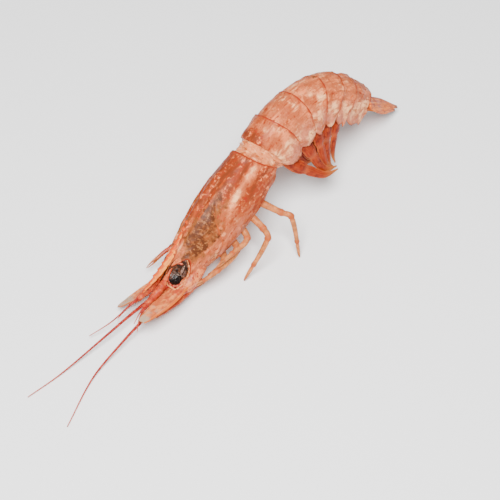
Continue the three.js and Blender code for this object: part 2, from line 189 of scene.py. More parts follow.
def sleeve(stations, sides, place):
    """A closed skin drawn out ring by ring. place(station, angle) gives a point of it and a dict of marks.

    The angle runs from the back round to the left. The marks are written on the points for the materials.
    """
    skin = bmesh.new()
    turn = skin.verts.layers.float.new("turn")
    layers = mark_layers(skin)
    ring = bmesh.ops.create_circle(skin, cap_ends=False, segments=sides, radius=1)["verts"]
    for vert in ring:
        vert[turn] = atan2(vert.co.x, vert.co.y)
    edges = skin.edges[:]
    for number, station in enumerate(stations):
        if number:
            drawn = bmesh.ops.extrude_edge_only(skin, edges=edges)["geom"]
            ring = [item for item in drawn if isinstance(item, bmesh.types.BMVert)]
            edges = [item for item in drawn if isinstance(item, bmesh.types.BMEdge)]
        for vert in ring:
            vert.co, marks = place(station, vert[turn])
            vert[layers["back"]] = cos(vert[turn])
            vert[layers["rim"]] = vert[layers["seam"]] = FAR
            for mark, value in marks.items():
                vert[layers[mark]] = value
        if number in (0, len(stations) - 1):
            close_end(skin, edges)
    skin.verts.layers.float.remove(turn)
    return skin


def close_end(skin, edges):
    """Closes an open end with a fan of faces round its middle."""
    cap = bmesh.ops.extrude_edge_only(skin, edges=edges)["geom"]
    verts = [item for item in cap if isinstance(item, bmesh.types.BMVert)]
    middle = sum((vert.co for vert in verts), Vector()) / len(verts)
    bmesh.ops.pointmerge(skin, verts=verts, merge_co=middle)


def ball_skin():
    """A round skin of radius 1, and its layers of marks."""
    ball = bmesh.new()
    layers = mark_layers(ball)
    bmesh.ops.create_icosphere(ball, subdivisions=5, radius=1)
    return ball, layers


def add_object(name, data):
    item = bpy.data.objects.new(name, data)
    bpy.context.scene.collection.objects.link(item)
    return item


def finish_piece(name, skin, material, slot, *nodes):
    """Puts a skin where it stands in the world, and makes it a piece that stands for the named nodes."""
    bmesh.ops.recalc_face_normals(skin, faces=skin.faces)
    bmesh.ops.transform(skin, matrix=TO_WORLD, verts=skin.verts)
    mesh = bpy.data.meshes.new(name)
    skin.to_mesh(mesh)
    skin.free()
    mesh.shade_smooth()
    mesh.materials.append(material)
    piece = add_object(name, mesh)
    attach(piece, "root")
    if nodes:
        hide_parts(*nodes)


def even(low, high, count):
    return [lerp(low, high, i / (count - 1)) for i in range(count)]


def route(points):
    """A smooth path through points: its length, and a function from a share of it to the point there."""
    lengths = [0.0]
    for a, b in zip(points, points[1:]):
        lengths.append(lengths[-1] + (Vector(b) - Vector(a)).length)
    curves = [through([(s, p[axis]) for s, p in zip(lengths, points)]) for axis in range(3)]
    return lengths[-1], lambda share: Vector([curve(share * lengths[-1]) for curve in curves])


def run_at(path, share):
    """Which way a path runs at a share of it."""
    return (path(min(share + 0.01, 1)) - path(max(share - 0.01, 0))).normalized()


def rod(points, rings, sides, width, depth=None, broad=Vector((1, 0, 0)), marks=None, relief=None):
    """A bent, tapered limb through points. width and depth are half sizes at a share of the way along."""
    depth = depth or width
    length, path = route(points)

    def place(share, angle):
        run = run_at(path, share)
        across = (broad - run * broad.dot(run)).normalized()
        deep = run.cross(across)
        grow = relief(share, angle, length) if relief else 0
        out = across * sin(angle) * (width(share) + grow) + deep * cos(angle) * (depth(share) + grow)
        found = {"along": share}
        if marks:
            found.update(marks(share, angle))
        return path(share) + out, found

    return sleeve(even(0, 1, rings), sides, place)


def hairs_along(path, width, low, high, count, grow):
    """The roots of hairs between two shares of a limb.

    grow(k, run) lists the hairs at place k: each one's root, in half widths outwards, direction and length.
    """
    roots = []
    for k, share in enumerate(even(low, high, count)):
        for out, direction, length in grow(k, run_at(path, share)):
            roots.append((path(share) + out * width(share), direction.normalized(), length))
    return roots


def hair_piece(name, roots, thickness, slot):
    """Fine pointed hairs. roots holds a point, a direction and a length for each."""
    skin = bmesh.new()
    for root, direction, length in roots:
        turn = direction.to_track_quat("Z", "Y").to_matrix().to_4x4()
        stand = Matrix.Translation(root + direction * length * 0.5) @ turn
        bmesh.ops.create_cone(
            skin, cap_ends=True, segments=3, radius1=thickness, radius2=thickness * HAIR_TIP,
            depth=length, matrix=stand,
        )
    finish_piece(name, skin, HAIR, slot)


# ---------------- shader tools
LIGHT_LEVEL = 2.4  # how bright a white surface is where the light falls on it
# What the film curve does to a colour, for paint to undo.
FILM_KEEPS = 0.62  # the share of its strength that is left
FILM_GAIN = 1.08
FILM_SHOULDER = 5.7  # how much more it darkens what is bright
FILM_POWER = 3.66
FILM_BLEACH = 1.47


def paint(red, green, blue):
    """What to set so that a colour looks so when lit. The film curve greys, so it is purer and deeper."""
    linear = []
    for share in (red / 255, green / 255, blue / 255):
        linear.append(share / 12.92 if share <= 0.04045 else ((share + 0.055) / 1.055) ** 2.4)
    middle = sum(linear) / 3
    opened = []
    for level in linear:
        level = middle + (level - middle) * FILM_KEEPS
        opened.append(level * (FILM_GAIN + FILM_SHOULDER * level ** FILM_POWER))
    middle = sum(opened) / 3
    pure = [max(middle + (level - middle) * FILM_BLEACH, 0.004) for level in opened]
    return (*(min(level / LIGHT_LEVEL, 0.95) for level in pure), 1)


def fill(tree, node, sockets):
    """Sets a node's inputs. Each is a value, another node's output, or a function that makes one."""
    for key, value in sockets.items():
        if callable(value):
            value = value(tree)
        if isinstance(value, bpy.types.NodeSocket):
            tree.links.new(value, node.inputs[key])
        else:
            node.inputs[key].default_value = value
    return node


def put(tree, kind, sockets=None, **settings):
    """Adds a node with its inputs and settings."""
    node = tree.nodes.new(kind)
    for setting, value in settings.items():
        setattr(node, setting, value)
    return fill(tree, node, sockets or {})


def calculate(tree, operation, a, b, clamp=False):
    return put(tree, "ShaderNodeMath", {0: a, 1: b}, operation=operation, use_clamp=clamp).outputs[0]


def times(tree, value, factor, plus=0.0):
    return put(tree, "ShaderNodeMath", {0: value, 1: factor, 2: plus}, operation="MULTIPLY_ADD").outputs[0]


def between(tree, value, low, high):
    """0 below low, 1 above high, smooth between them."""
    found = put(tree, "ShaderNodeMapRange", {0: value, 1: low, 2: high}, interpolation_type="SMOOTHSTEP")
    return found.outputs[0]


def blend(tree, share, a, b):
    return put(tree, "ShaderNodeMix", {0: share, 6: a, 7: b}, data_type="RGBA").outputs[2]


def mark(tree, name):
    return put(tree, "ShaderNodeAttribute", attribute_name=name).outputs["Fac"]


def position(tree):
    return put(tree, "ShaderNodeTexCoord").outputs["Object"]


def cloud_at(tree, place, scale, detail, roughness=0.5):
    sockets = {"Vector": place, "Scale": scale, "Detail": detail, "Roughness": roughness}
    return put(tree, "ShaderNodeTexNoise", sockets).outputs["Fac"]


def fineness(tree, size):
    """The texture scale whose lumps are size millimetres across."""
    return calculate(tree, "DIVIDE", 1 / MM, size)


# ---------------- shared shader groups
def new_group(name, inputs, outputs):
    """A shader group. inputs and outputs hold the kind of each named socket."""
    group = bpy.data.node_groups.new(name, "ShaderNodeTree")
    for in_out, sockets in (("INPUT", inputs), ("OUTPUT", outputs)):
        for label, kind in sockets.items():
            group.interface.new_socket(label, in_out=in_out, socket_type="NodeSocket" + kind)
    return group, group.nodes.new("NodeGroupInput").outputs, group.nodes.new("NodeGroupOutput").inputs


def use_group(tree, group, sockets):
    node = tree.nodes.new("ShaderNodeGroup")
    node.node_tree = group
    return fill(tree, node, sockets).outputs


def make_layer_group(name, mask_of, *numbers):
    """A group that lays Stain over Color where mask_of(group, given) says. numbers names its other inputs."""
    inputs = {"Color": "Color", "Stain": "Color", **{number: "Float" for number in numbers}}
    group, given, result = new_group(name, inputs, {"Color": "Color"})
    mask = mask_of(group, given)
    group.links.new(blend(group, mask, given["Color"], given["Stain"]), result["Color"])
    return group


def ragged(group, cloud, given):
    """The share of a cloud that Amount picks out, with an edge as soft as Softness."""
    level = calculate(group, "SUBTRACT", 1.0, given["Amount"])
    low = calculate(group, "SUBTRACT", level, given["Softness"])
    high = calculate(group, "ADD", level, given["Softness"])
    stretched = put(group, "ShaderNodeMapRange", {0: cloud, 1: 0.28, 2: 0.72}).outputs[0]
    return between(group, stretched, low, high)


def stain_mask(group, given):
    """Ragged patches, as large as Size in millimetres."""
    moved = put(group, "ShaderNodeVectorMath", {0: position(group), 1: given["Shift"]}, operation="ADD")
    return ragged(group, cloud_at(group, moved.outputs[0], fineness(group, given["Size"]), 6.0, 0.62), given)


def streak_mask(group, given):
    """Brush-like streaks that follow the body: Along and Around are their sizes in millimetres."""
    along = calculate(group, "DIVIDE", mark(group, "length"), given["Along"])
    around = calculate(group, "DIVIDE", mark(group, "girth"), given["Around"])
    place = put(group, "ShaderNodeCombineXYZ", {0: along, 1: around, 2: given["Shift"]}).outputs[0]
    return ragged(group, cloud_at(group, place, 1.0, 5.0, 0.6), given)


def speck_mask(group, given):
    """Small round dots, scattered unevenly."""
    place = position(group)
    cells = put(group, "ShaderNodeTexVoronoi", {"Vector": place, "Scale": fineness(group, given["Size"])})
    crowd = between(group, cloud_at(group, place, 260.0, 3.0), 0.42, 0.68)
    reach = calculate(group, "MULTIPLY", crowd, 0.42)
    dot = between(group, cells.outputs["Distance"], reach, calculate(group, "SUBTRACT", reach, 0.16))
    return calculate(group, "MULTIPLY", dot, given["Amount"], clamp=True)


def edge_mask(group, given):
    """An uneven line, about Width wide, along an edge that is Distance millimetres away."""
    cloud = between(group, cloud_at(group, position(group), 300.0, 3.0), 0.3, 0.7)
    uneven = calculate(group, "MULTIPLY", given["Width"], cloud)
    reach = calculate(group, "ADD", uneven, calculate(group, "MULTIPLY", given["Width"], 0.35))
    near = between(group, given["Distance"], reach, calculate(group, "MULTIPLY", reach, 0.25))
    return calculate(group, "MULTIPLY", near, given["Amount"], clamp=True)


def make_wet_group():
    """The pits, wrinkles and wet patches of a raw surface: a roughness and a normal."""
    inputs = {"Grain": "Float", "Depth": "Float", "Dry": "Float", "Wet": "Float"}
    group, given, result = new_group("wet_surface", inputs, {"Roughness": "Float", "Normal": "Vector"})
    place = position(group)
    wetness = between(group, cloud_at(group, place, 170.0, 5.0), 0.4, 0.62)
    rough = put(group, "ShaderNodeMapRange", {0: wetness, 3: given["Dry"], 4: given["Wet"]}).outputs[0]
    scale = fineness(group, given["Grain"])
    grain = cloud_at(group, place, scale, 6.0, 0.6)
    cells = put(group, "ShaderNodeTexVoronoi", {"Vector": place, "Scale": times(group, scale, 1.4)})
    relief = calculate(group, "ADD", grain, times(group, cells.outputs["Distance"], 0.5))
    height = calculate(group, "MULTIPLY", relief, times(group, given["Depth"], MM))
    normal = put(group, "ShaderNodeBump", {"Height": height, "Strength": 1.0, "Distance": 1.0}).outputs[0]
    group.links.new(rough, result["Roughness"])
    group.links.new(normal, result["Normal"])
    return group


STAIN = make_layer_group("ragged_stain", stain_mask, "Amount", "Size", "Softness", "Shift")
STREAK = make_layer_group("brush_streaks", streak_mask, "Amount", "Along", "Around", "Softness", "Shift")
SPECKS = make_layer_group("pigment_specks", speck_mask, "Amount", "Size")
EDGE = make_layer_group("edge_line", edge_mask, "Distance", "Width", "Amount")
WET = make_wet_group()


# ---------------- the layers of a look
def marked(name, factor=1.0, plus=0.0):
    """An amount that follows a mark of the skin."""
    return lambda tree: times(tree, mark(tree, name), factor, plus)


def faded(name, low, high, factor=1.0, plus=0.0):
    """An amount that goes from plus, where a mark is low, up by factor, where it is high."""
    return lambda tree: times(tree, between(tree, mark(tree, name), low, high), factor, plus)


def layer(group, colour, **numbers):
    """Lays a colour over what is below it, through a group."""

    def lay(tree, below):
        return use_group(tree, group, {"Color": below, "Stain": paint(*colour), **numbers})["Color"]

    return lay


def stained(colour, amount, size, softness=0.12, shift=0.0):
    return layer(STAIN, colour, Amount=amount, Size=size, Softness=softness, Shift=shift)


def streaked(colour, amount, along, around, softness=0.12, shift=0.0):
    return layer(STREAK, colour, Amount=amount, Along=along, Around=around, Softness=softness, Shift=shift)


def specked(colour, amount, size):
    return layer(SPECKS, colour, Amount=amount, Size=size)


def edged(colour, line, width, amount=1.0):
    return layer(EDGE, colour, Distance=marked(line), Width=width, Amount=amount)


def washed(colour, amount):
    return lambda tree, below: blend(tree, amount(tree), below, paint(*colour))


def raw_material(name, base, *layers, grain=0.7, depth=0.05, dry=0.5, wet=0.3, flesh=0.06, coat=0.06):
    """A wet raw surface, with layers over a base colour.

    grain and depth are the size of its pits in millimetres, dry and wet how rough it is where it is so, flesh
    how much light goes into it and coat how much it shines.
    """
    material = bpy.data.materials.new(name)
    material.use_nodes = True
    tree = material.node_tree
    tree.nodes.clear()
    colour = paint(*base)
    for lay in layers:
        colour = lay(tree, colour)
    surface = use_group(tree, WET, {"Grain": grain, "Depth": depth, "Dry": dry, "Wet": wet})
    shader = put(tree, "ShaderNodeBsdfPrincipled", {
        "Base Color": colour, "Roughness": surface["Roughness"], "Normal": surface["Normal"],
        "Subsurface Weight": flesh, "Subsurface Radius": (1.0, 0.35, 0.2), "Subsurface Scale": 0.002,
        "Coat Weight": coat, "Coat Roughness": 0.22, "IOR": 1.42, "Specular IOR Level": 0.1,
    })
    out = put(tree, "ShaderNodeOutputMaterial")
    tree.links.new(shader.outputs[0], out.inputs[0])
    return material


# ---------------- materials
PALE_SHELL = (226, 172, 132)
GLAZE = (206, 124, 76)
ORANGE_PATCH = (202, 108, 54)
DEEP_ORANGE = (190, 74, 26)
RED_LINE = (194, 62, 24)
ORANGE_LINE = (210, 108, 46)
BRIGHT_RED = (200, 44, 26)

# Pale peach with brushed orange patches, deeper on the back, lilac low down, brown over the liver, red edges,
# and a painted highlight: a paler band along each flank of the carapace.
SHELL = raw_material(
    "mottled_shell", PALE_SHELL,
    streaked((210, 136, 90), marked("stain", 0.45, 0.4), 7, 4, 0.3),
    washed((204, 154, 134), faded("back", 0.15, -0.6, 0.6)),
    # pale peach where the stain mark is low: real pale patches, and on the carapace the painted highlight band
    stained((246, 204, 182), marked("stain", -0.45, 0.44), 6.5, 0.22, 9),
    streaked(GLAZE, marked("stain", 0.4, 0.28), 7, 1.8, 0.24, 3),
    stained(GLAZE, marked("stain", 0.3, 0.22), 3.2, 0.16, 3.6),
    stained(ORANGE_PATCH, marked("stain", 0.62, 0.06), 4.5, 0.2, 1.7),
    streaked(DEEP_ORANGE, marked("stain", 0.64), 3.8, 1.5, 0.14, 5),
    stained(DEEP_ORANGE, marked("stain", 0.48), 1.5, 0.1, 5.2),
    stained(PALE_SHELL, marked("stain", 0.34), 2, 0.12, 7),
    streaked((166, 70, 24), marked("stain", 0.9, -0.42), 6, 2, 0.24, 6),
    specked(DEEP_ORANGE, 0.5, 0.6),
    stained((184, 106, 46), marked("dusk", 0.95), 4, 0.24, 8),
    stained((124, 62, 26), marked("dusk", 0.74), 2.6, 0.2, 8.8),
    stained((190, 128, 72), marked("dusk", 0.4), 1.3, 0.1, 4.4),
    specked(BRIGHT_RED, marked("stain", 0.9, -0.1), 2.2),
    edged(ORANGE_LINE, "seam", 0.7, 0.9),
    edged(ORANGE_PATCH, "rim", 1.7, 0.45),
    edged(RED_LINE, "rim", 0.9, faded("back", -0.75, 0.25, 0.7, 0.3)),
    grain=0.8, depth=0.04, dry=0.55, wet=0.4, coat=0.02,
)
# Pale yellow orange down the middle of the blade, deep orange along its toothed edge.
ROSTRUM = raw_material(
    "rostrum_shell", (232, 188, 128),
    streaked((224, 160, 104), 0.4, 9, 0.8, 0.2),
    edged((222, 116, 46), "rim", 1.1),
    edged((210, 104, 56), "seam", 0.6, 0.8),
    depth=0.04, coat=0.04,
)
# Cream skin stained orange, with pale wrinkles across it.
NECK_SKIN = raw_material(
    "neck_membrane", (222, 172, 130),
    stained((210, 138, 88), 0.5, 5, 0.16),
    stained((206, 116, 54), 0.32, 3.2, 0.14, 4),
    streaked((232, 200, 172), 0.3, 1.2, 5, 0.2, 2),
    edged(ORANGE_LINE, "rim", 0.9, 0.8),
    grain=1.2, depth=0.12, dry=0.34, wet=0.2, flesh=0.2, coat=0.1,
)
FACE_SKIN = raw_material(
    "face_flesh", (222, 168, 122),
    stained((204, 106, 66), 0.5, 2.6, 0.2),
    stained((190, 58, 38), 0.26, 1.4, 0.1, 2.2),
    # darker brown where the dusk mark is high: on the face, towards the eye hollows
    stained((74, 46, 32), marked("dusk", 0.95), 1.8, 0.2, 6),
    grain=0.8, depth=0.16, dry=0.42, wet=0.22, coat=0.08,
)
# A collapsed black eye with a grey skin drawn back from it, brown towards the stalk.
EYE_SKIN = raw_material(
    "eye_skin", (26, 18, 16),
    stained((64, 44, 36), 0.3, 0.9),
    stained((150, 124, 110), marked("dusk", 0.8), 2, 0.1, 1),
    stained((96, 56, 40), marked("stain", 0.9), 1.4, 0.14, 3),
    depth=0.12, dry=0.3, wet=0.12, flesh=0, coat=0.25,
)
# Dark brown, shrunken skin with a few pale specks.
SOCKET_SKIN = raw_material(
    "eye_socket_skin", (104, 58, 36),
    stained((44, 26, 18), 0.46, 1.6, 0.14),
    stained((140, 82, 52), 0.36, 1.1, 0.1, 3),
    stained((196, 150, 116), 0.14, 0.7, 0.06, 5),
    grain=0.6, depth=0.2, dry=0.4, wet=0.2, flesh=0, coat=0.1,
)
# Grey white film drawn back off the eye.
FILM_SKIN = raw_material(
    "eye_film", (172, 134, 116),
    stained((104, 66, 48), 0.5, 1.2, 0.16),
    stained((214, 186, 168), 0.28, 0.6, 0.1, 4),
    grain=0.6, depth=0.1, dry=0.3, wet=0.12, flesh=0, coat=0.4,
)
STALK_SKIN = raw_material(
    "eye_stalk", (190, 62, 46),
    stained((220, 160, 130), 0.4, 1.2),
    grain=0.6, depth=0.08, flesh=0.2,
)
LID_SKIN = raw_material(
    "eye_socket_edge", (226, 188, 150),
    stained((206, 118, 68), 0.46, 1.8, 0.2),
    stained((150, 92, 58), 0.3, 1.2, 0.14, 3),
    grain=0.6, depth=0.08, flesh=0.3,
)
# Thin pale plates, flushed red at the root, with an orange rim.
SCALE_PLATE = raw_material(
    "antennal_scale", (224, 176, 128),
    stained((212, 132, 82), 0.52, 3, 0.25),
    stained((212, 104, 72), faded("along", 0.85, 0.1, 0.5), 1.6, 0.2, 2),
    stained((196, 180, 160), faded("along", 0.55, 1, 0.8), 4, 0.3),
    edged((216, 138, 66), "rim", 0.8),
    grain=0.9, flesh=0.1, coat=0.04,
)
# Red orange stems and blades, streaked along their length, tan at the tips.
SWIMMERET = raw_material(
    "swimmeret_blade", (182, 54, 12),
    streaked((200, 88, 30), 0.42, 6, 0.7, 0.2),
    streaked((200, 100, 50), 0.26, 8, 0.5, 0.14, 4),
    stained((142, 38, 14), 0.36, 2.4, 0.2, 2),
    washed((214, 140, 92), marked("stain", 0.5)),
    washed((200, 132, 66), faded("along", 0.7, 0.98)),
    edged((212, 128, 70), "rim", 0.4, 0.6),
    coat=0.02,
)
# Tan legs, orange at each joint and flushed towards the body.
LEG = raw_material(
    "leg_shell", (200, 138, 80),
    stained((218, 170, 118), 0.5, 2.4, 0.25),
    stained((206, 128, 72), 0.32, 1.5, 0.16, 2),
    washed((208, 110, 56), marked("stain", 0.75)),
    coat=0.04,
)
CHELA = raw_material(
    "claw_shell", (196, 72, 52),
    stained((214, 120, 84), 0.45, 1.6, 0.2),
    washed((206, 140, 84), faded("along", 0.68, 0.95)),
    grain=0.6, depth=0.04, flesh=0.2, coat=0.2,
)
# Red feelers, ringed darker, paler towards the tips.
WHIP = raw_material(
    "feeler_rings", (192, 46, 32),
    stained((216, 96, 74), 0.42, 1.6, 0.2),
    washed((150, 30, 24), marked("rim", 0.45)),
    washed((214, 112, 84), faded("along", 0.6, 1)),
    grain=0.5, depth=0.03, dry=0.4, wet=0.2, flesh=0.1,
)
PEDUNCLE = raw_material(
    "feeler_root", (206, 88, 52),
    stained((220, 146, 96), 0.42, 1.8, 0.2),
    stained(BRIGHT_RED, 0.26, 1.1, 0.1, 3),
    washed((190, 58, 36), marked("stain", 0.7)),
    grain=0.6, depth=0.06, coat=0.04,
)
# Yellow orange plates with red patches, pale raised ribs and a brown end.
FAN = raw_material(
    "tail_fan", (228, 170, 104),
    streaked((214, 120, 58), 0.5, 7, 0.9, 0.2),
    stained((176, 60, 30), 0.26, 2.2, 0.2),
    washed((218, 156, 100), marked("stain", 0.7)),
    washed((176, 106, 70), faded("along", 0.86, 1)),
    edged((198, 82, 40), "seam", 0.9, 0.9),
    coat=0.04,
)
TELSON_SHELL = raw_material(
    "telson_shell", (222, 168, 130),
    stained((206, 112, 72), 0.42, 2.6, 0.22),
    edged(RED_LINE, "rim", 0.6, 0.8),
    coat=0.04,
)
HAIR = raw_material(
    "fine_hair", (214, 170, 120),
    stained((190, 120, 70), 0.5, 2, 0.25),
    grain=0.5, depth=0.01, flesh=0, coat=0,
)


# ---------------- carapace
# Half width, top and bottom of the head, at places in front of the carapace's rim.
HEAD_HALF_WIDTH = through([
    (-5, 8.8), (6, 9.6), (18, 10.2), (32, 9.5), (42, 8), (50, 6.6), (58, 5), (66, 3.4),
])
HEAD_TOP = through([
    (-5, 10.8), (6, 11.6), (18, 12.2), (32, 11), (42, 9), (50, 7.2), (58, 4.8), (66, 2.2),
])
HEAD_BOTTOM = through([
    (-5, -10), (6, -12), (18, -12.8), (32, -11.6), (42, -9.4), (50, -7.2), (58, -5.2), (66, -2.6),
])
SHELL_EDGE = radians(140)  # the angle from the back where the carapace's lower edge hangs free
GROOVE = through([(0.6, 23), (0.86, 26.5), (1.3, 30), (1.75, 33), (2.27, 39.5)])  # its place at each angle
GIRTH = 11  # millimetres round the body for each radian
RIM_TURN = 3  # how far the carapace's edges run on inside it
RIM_THICKNESS = 0.4
RIM_ROOT = 0.75


def head_section(x, angle, grow):
    """The point of the head's skin at x and an angle from the back."""
    top, bottom = HEAD_TOP(x), HEAD_BOTTOM(x)
    middle = lerp(bottom, top, 0.46)
    height = cos(angle)
    across = bent(sin(angle), 0.88) * (HEAD_HALF_WIDTH(x) + grow)
    if height > 0:
        return Vector((x, across, middle + height * (top - middle + grow)))
    return Vector((x, across, middle + bent(height, 0.8) * (middle - bottom + grow)))


def rim_at(angle):
    """Where the carapace's rear rim lies: it runs back down the sides and forward again underneath."""
    above = cos(angle)
    return -0.3 - 3.3 * (1 - max(above, -0.3)) ** 1.6 + 10 * max(-0.3 - above, 0)


def neck_rear(angle):
    return -lerp(NECK_REAR["side"], NECK_REAR["back"], max(cos(angle), 0))


def front_edge(angle):
    """The front edge: a deep notch for the eye, a spine below it and a rounded cheek."""
    around = abs(angle)
    eye_notch = 5.9 * bump(around, radians(58), radians(25))
    spine = 2.6 * bump(around, radians(98), radians(5))
    cheek = 2.5 * ramp(around, radians(118), radians(165))
    return CARAPACE_LENGTH + 2 + 1.5 * cos(angle) - eye_notch + spine - cheek


def carapace_relief(x, angle):
    """How far the shell stands out, and how far the nearest orange line is."""
    around = abs(angle)
    crest = 0.75 * bump(around, 0, 0.1) * ramp(x, 2, 14)
    furrow = -0.35 * bump(around, 0.24, 0.08) * ramp(x, 12, 24)
    carina = 0.28 * bump(around, 0.4, 0.07) * ramp(x, 12, 24)
    behind = x - GROOVE(around)
    on_groove = ramp(around, 0.5, 0.75) * ramp(around, 2.45, 2.2)
    groove = (-0.5 * bump(behind, 0.3, 0.8) + 0.3 * bump(behind, -1.4, 1.2)) * on_groove
    fold_line = radians(112) - (x - 39) * 0.012
    cheek_fold = -0.35 * bump(around, fold_line, 0.07) * ramp(x, 34, 41) * ramp(x, 51, 48)
    side_line = 0.25 * bump(around, radians(128), 0.05) * ramp(x, 3, 10) * ramp(x, 40, 34)
    hang = -1.1 * ramp(around, SHELL_EDGE, SHELL_EDGE + 0.1)
    spot = Vector((x, 14 * sin(angle), 14 * cos(angle)))
    lumps = 0.36 * unevenness(spot, 10, 1.0) + 0.12 * unevenness(spot, 3, 2.0)
    wrinkles = 0.1 * unevenness(Vector((x * 0.5, spot.y, spot.z)), 1.3, 3.0)
    wrinkles *= ramp(x, 24, 34) * ramp(around, 0.4, 0.7)
    seams = [FAR, abs(behind - 0.3) * 1.3 if on_groove > 0.5 else FAR]
    if x > 10:
        seams.append(abs(around - 0.12) * GIRTH + 0.3)
        seams.append(abs(around - 0.4) * GIRTH + 0.25)
    return crest + furrow + carina + groove + cheek_fold + side_line + hang + lumps + wrinkles, min(seams)


def make_carapace():
    def place(station, angle):
        share = clamp(station)
        rear, front = rim_at(angle), front_edge(angle)
        x = lerp(rear, front, share)
        grow, seam = carapace_relief(x, angle)
        tuck = 0.0
        if station < 0:  # the inner face of the rear rim
            x -= station * RIM_TURN
            tuck = lerp(RIM_THICKNESS, RIM_ROOT, min(-station, 1))
        if station > 1:  # the inner face of the front edge
            x -= (station - 1) * RIM_TURN
            tuck = lerp(RIM_THICKNESS, RIM_ROOT, min(station - 1, 1))
        edge_roll = 0.3 * bump(station, 0.018, 0.02) + 0.3 * bump(station, 0.985, 0.015)
        point = head_section(x, angle, grow + edge_roll - tuck)
        around = abs(angle)
        from_rear = x - rear if station >= 0 else 0
        fringe = min(from_rear, (front - x) * 1.2 + 0.1, abs(around - SHELL_EDGE) * GIRTH)
        back_patch = 1.25 * bump(around, 0.55, 0.42) * ramp(x, 40, 26) + 0.6 * ramp(around, 0.35, 0.1)
        side_patch = 0.7 * bump(around, 1.42, 0.2) * ramp(x, 32, 4)
        cheek_patch = 0.16 * bump(around, 1.9, 0.5) * bump(x, 42, 12)
        low_patch = 0.55 * bump(around, 2.0, 0.4) * bump(x, 6, 12)
        liver = bump(around, 0.85, 0.74) * bump(x, 38, 12)
        liver = max(liver, 0.9 * bump(around, 0.66, 0.42) * bump(x, 28, 11))
        low_brown = 0.35 * bump(around, 2.15, 0.14) * ramp(x, 42, 30)
        # painted highlight: the first term pales a band along the middle of each flank, from the rear to the
        # middle; the other two are real pale lines beside the ridge and along the lower edge.
        highlight_and_pale_lines = bump(around, 1.05, 0.18) * ramp(x, 28, 18)
        highlight_and_pale_lines += 0.5 * bump(around, 0.27, 0.07) * ramp(x, 8, 20)
        highlight_and_pale_lines += 0.9 * bump(around, 2.36, 0.08)
        pigment = 0.32 + back_patch + side_patch + cheek_patch + low_patch - 0.6 * highlight_and_pale_lines
        marks = {
            "along": share, "rim": max(fringe, 0), "seam": seam, "stain": clamp(pigment),
            "dusk": min(liver + low_brown, 1), "length": x, "girth": angle * GIRTH,
        }
        return point, marks

    stations = [-1, -0.5, -0.12, 0] + [(i / 110) ** 0.96 for i in range(1, 111)] + [1.12, 1.5, 2]
    finish_piece("carapace_shell", sleeve(stations, 128, place), SHELL, "shell", "carapace")


def make_rostrum():
    """A toothed blade with a rib along each side, rising out of the ridge of the back."""
    start, tip = 26, CARAPACE_LENGTH + ROSTRUM_LENGTH
    crest = through([(start, 11.6), (34, 11.1), (42, 9.7), (50, 8.7), (60, 8.5), (tip, 8.3)])
    keel = through([(start, 9), (34, 8.8), (44, 6.8), (54, 5.6), (62, 6.5), (tip, 7.9)])
    thick = through([(start, 0.7), (34, 1.0), (48, 1.1), (58, 0.8), (tip, 0.12)])
    tooth_gap = 3.1

    def place(station, angle):
        x = lerp(start, tip, station)
        tooth = ((x - start) / tooth_gap) % 1
        saw = 0.75 * tooth ** 1.8 * ramp(x, 28, 36) * ramp(x, tip + 1, tip - 3)
        high, low = crest(x) + saw, keel(x)
        level = (cos(angle) + 1) / 2
        rib = 0.5 * bump(level, 0.4, 0.13)
        side = sin(angle)
        half = thick(x) * (abs(side) ** 0.75) + rib * abs(side) * ramp(x, tip, tip - 8)
        z = lerp(low, high, level)
        marks = {"along": station, "rim": (high - z) * 1.1, "seam": abs(z - lerp(low, high, 0.12)) + 0.1,
                 "length": x, "girth": z}
        return Vector((x, half if side >= 0 else -half, z)), marks

    finish_piece("rostrum_blade", sleeve(even(0, 1, 170), 28, place), ROSTRUM, "shell")


# ---------------- face and eyes
def eye_hollow(point):
    """How near a point is to an eye: 1 at its middle, 0 away from it."""
    return max(bump((point - middle).length, 0, radius + 1.2) for radius, middle in EYES.values())


def make_face():
    start, end = 42, CARAPACE_LENGTH + FACE_LENGTH

    def place(station, angle):
        x = lerp(start, end, station)
        point = head_section(x, angle, -0.7 - 2.4 * station ** 6)
        hollow = eye_hollow(point)
        crease = 0.35 * unevenness(point, 3.5, 5) + 0.15 * unevenness(point, 1.3, 6)
        outward = Vector((0, point.y, point.z - 0.5)).normalized()
        point += outward * (crease - 2.4 * hollow)
        socket = bump((point - Vector((51, point.y, 6))).length, 0, 6.5) * ramp(abs(point.y), 1, 3)
        # dusk here makes the face darker brown towards the sunk eye hollows and the socket
        dusk = min(hollow * 1.6 + socket, 1)
        return point, {"along": station, "dusk": dusk, "length": x, "girth": angle * 8}

    finish_piece("face_flesh", sleeve(even(0, 1, 70), 80, place), FACE_SKIN, "soft", "face")


# The left eye's hollow: its middle, half its length and half its width.
HOLLOW = Vector((53.3, 4.4, 3.1))
HOLLOW_LONG = Vector((6.1, 0, -2.9))
HOLLOW_WIDE = Vector((-2.0, 2.1, -3.0))
HOLLOW_OUT = HOLLOW_LONG.cross(HOLLOW_WIDE).normalized()
FRONT_DEPTH = 1.5
REAR_DEPTH = 3.2


def in_hollow(side, long_way, wide_way, out=0.0):
    """A point of an eye's hollow, in shares of its half length and half width, and millimetres outwards."""
    point = HOLLOW + HOLLOW_LONG * long_way + HOLLOW_WIDE * wide_way + HOLLOW_OUT * out
    return Vector((point.x, side * point.y, point.z))


def make_hollow(side):
    """A wrinkled bowl: its outer face is sunk, and its dusk mark rises low down."""
    bowl, layers = ball_skin()
    for vert in bowl.verts:
        spot = vert.co.copy()
        outside = spot.z > 0
        folds = 0.34 * unevenness(spot * 4, 1.4, side) + 0.24 * abs(unevenness(spot * 4, 0.8, side + 4))
        out = -(FRONT_DEPTH if outside else REAR_DEPTH) * abs(spot.z)
        out += (folds if outside else 0) * ramp(abs(spot.z), 0, 0.4)
        vert[layers["dusk"]] = ramp(spot.x, -0.6, 0.5)
        vert[layers["along"]] = (spot.x + 1) / 2
        vert.co = in_hollow(side, spot.x, spot.y, out)
    return bowl


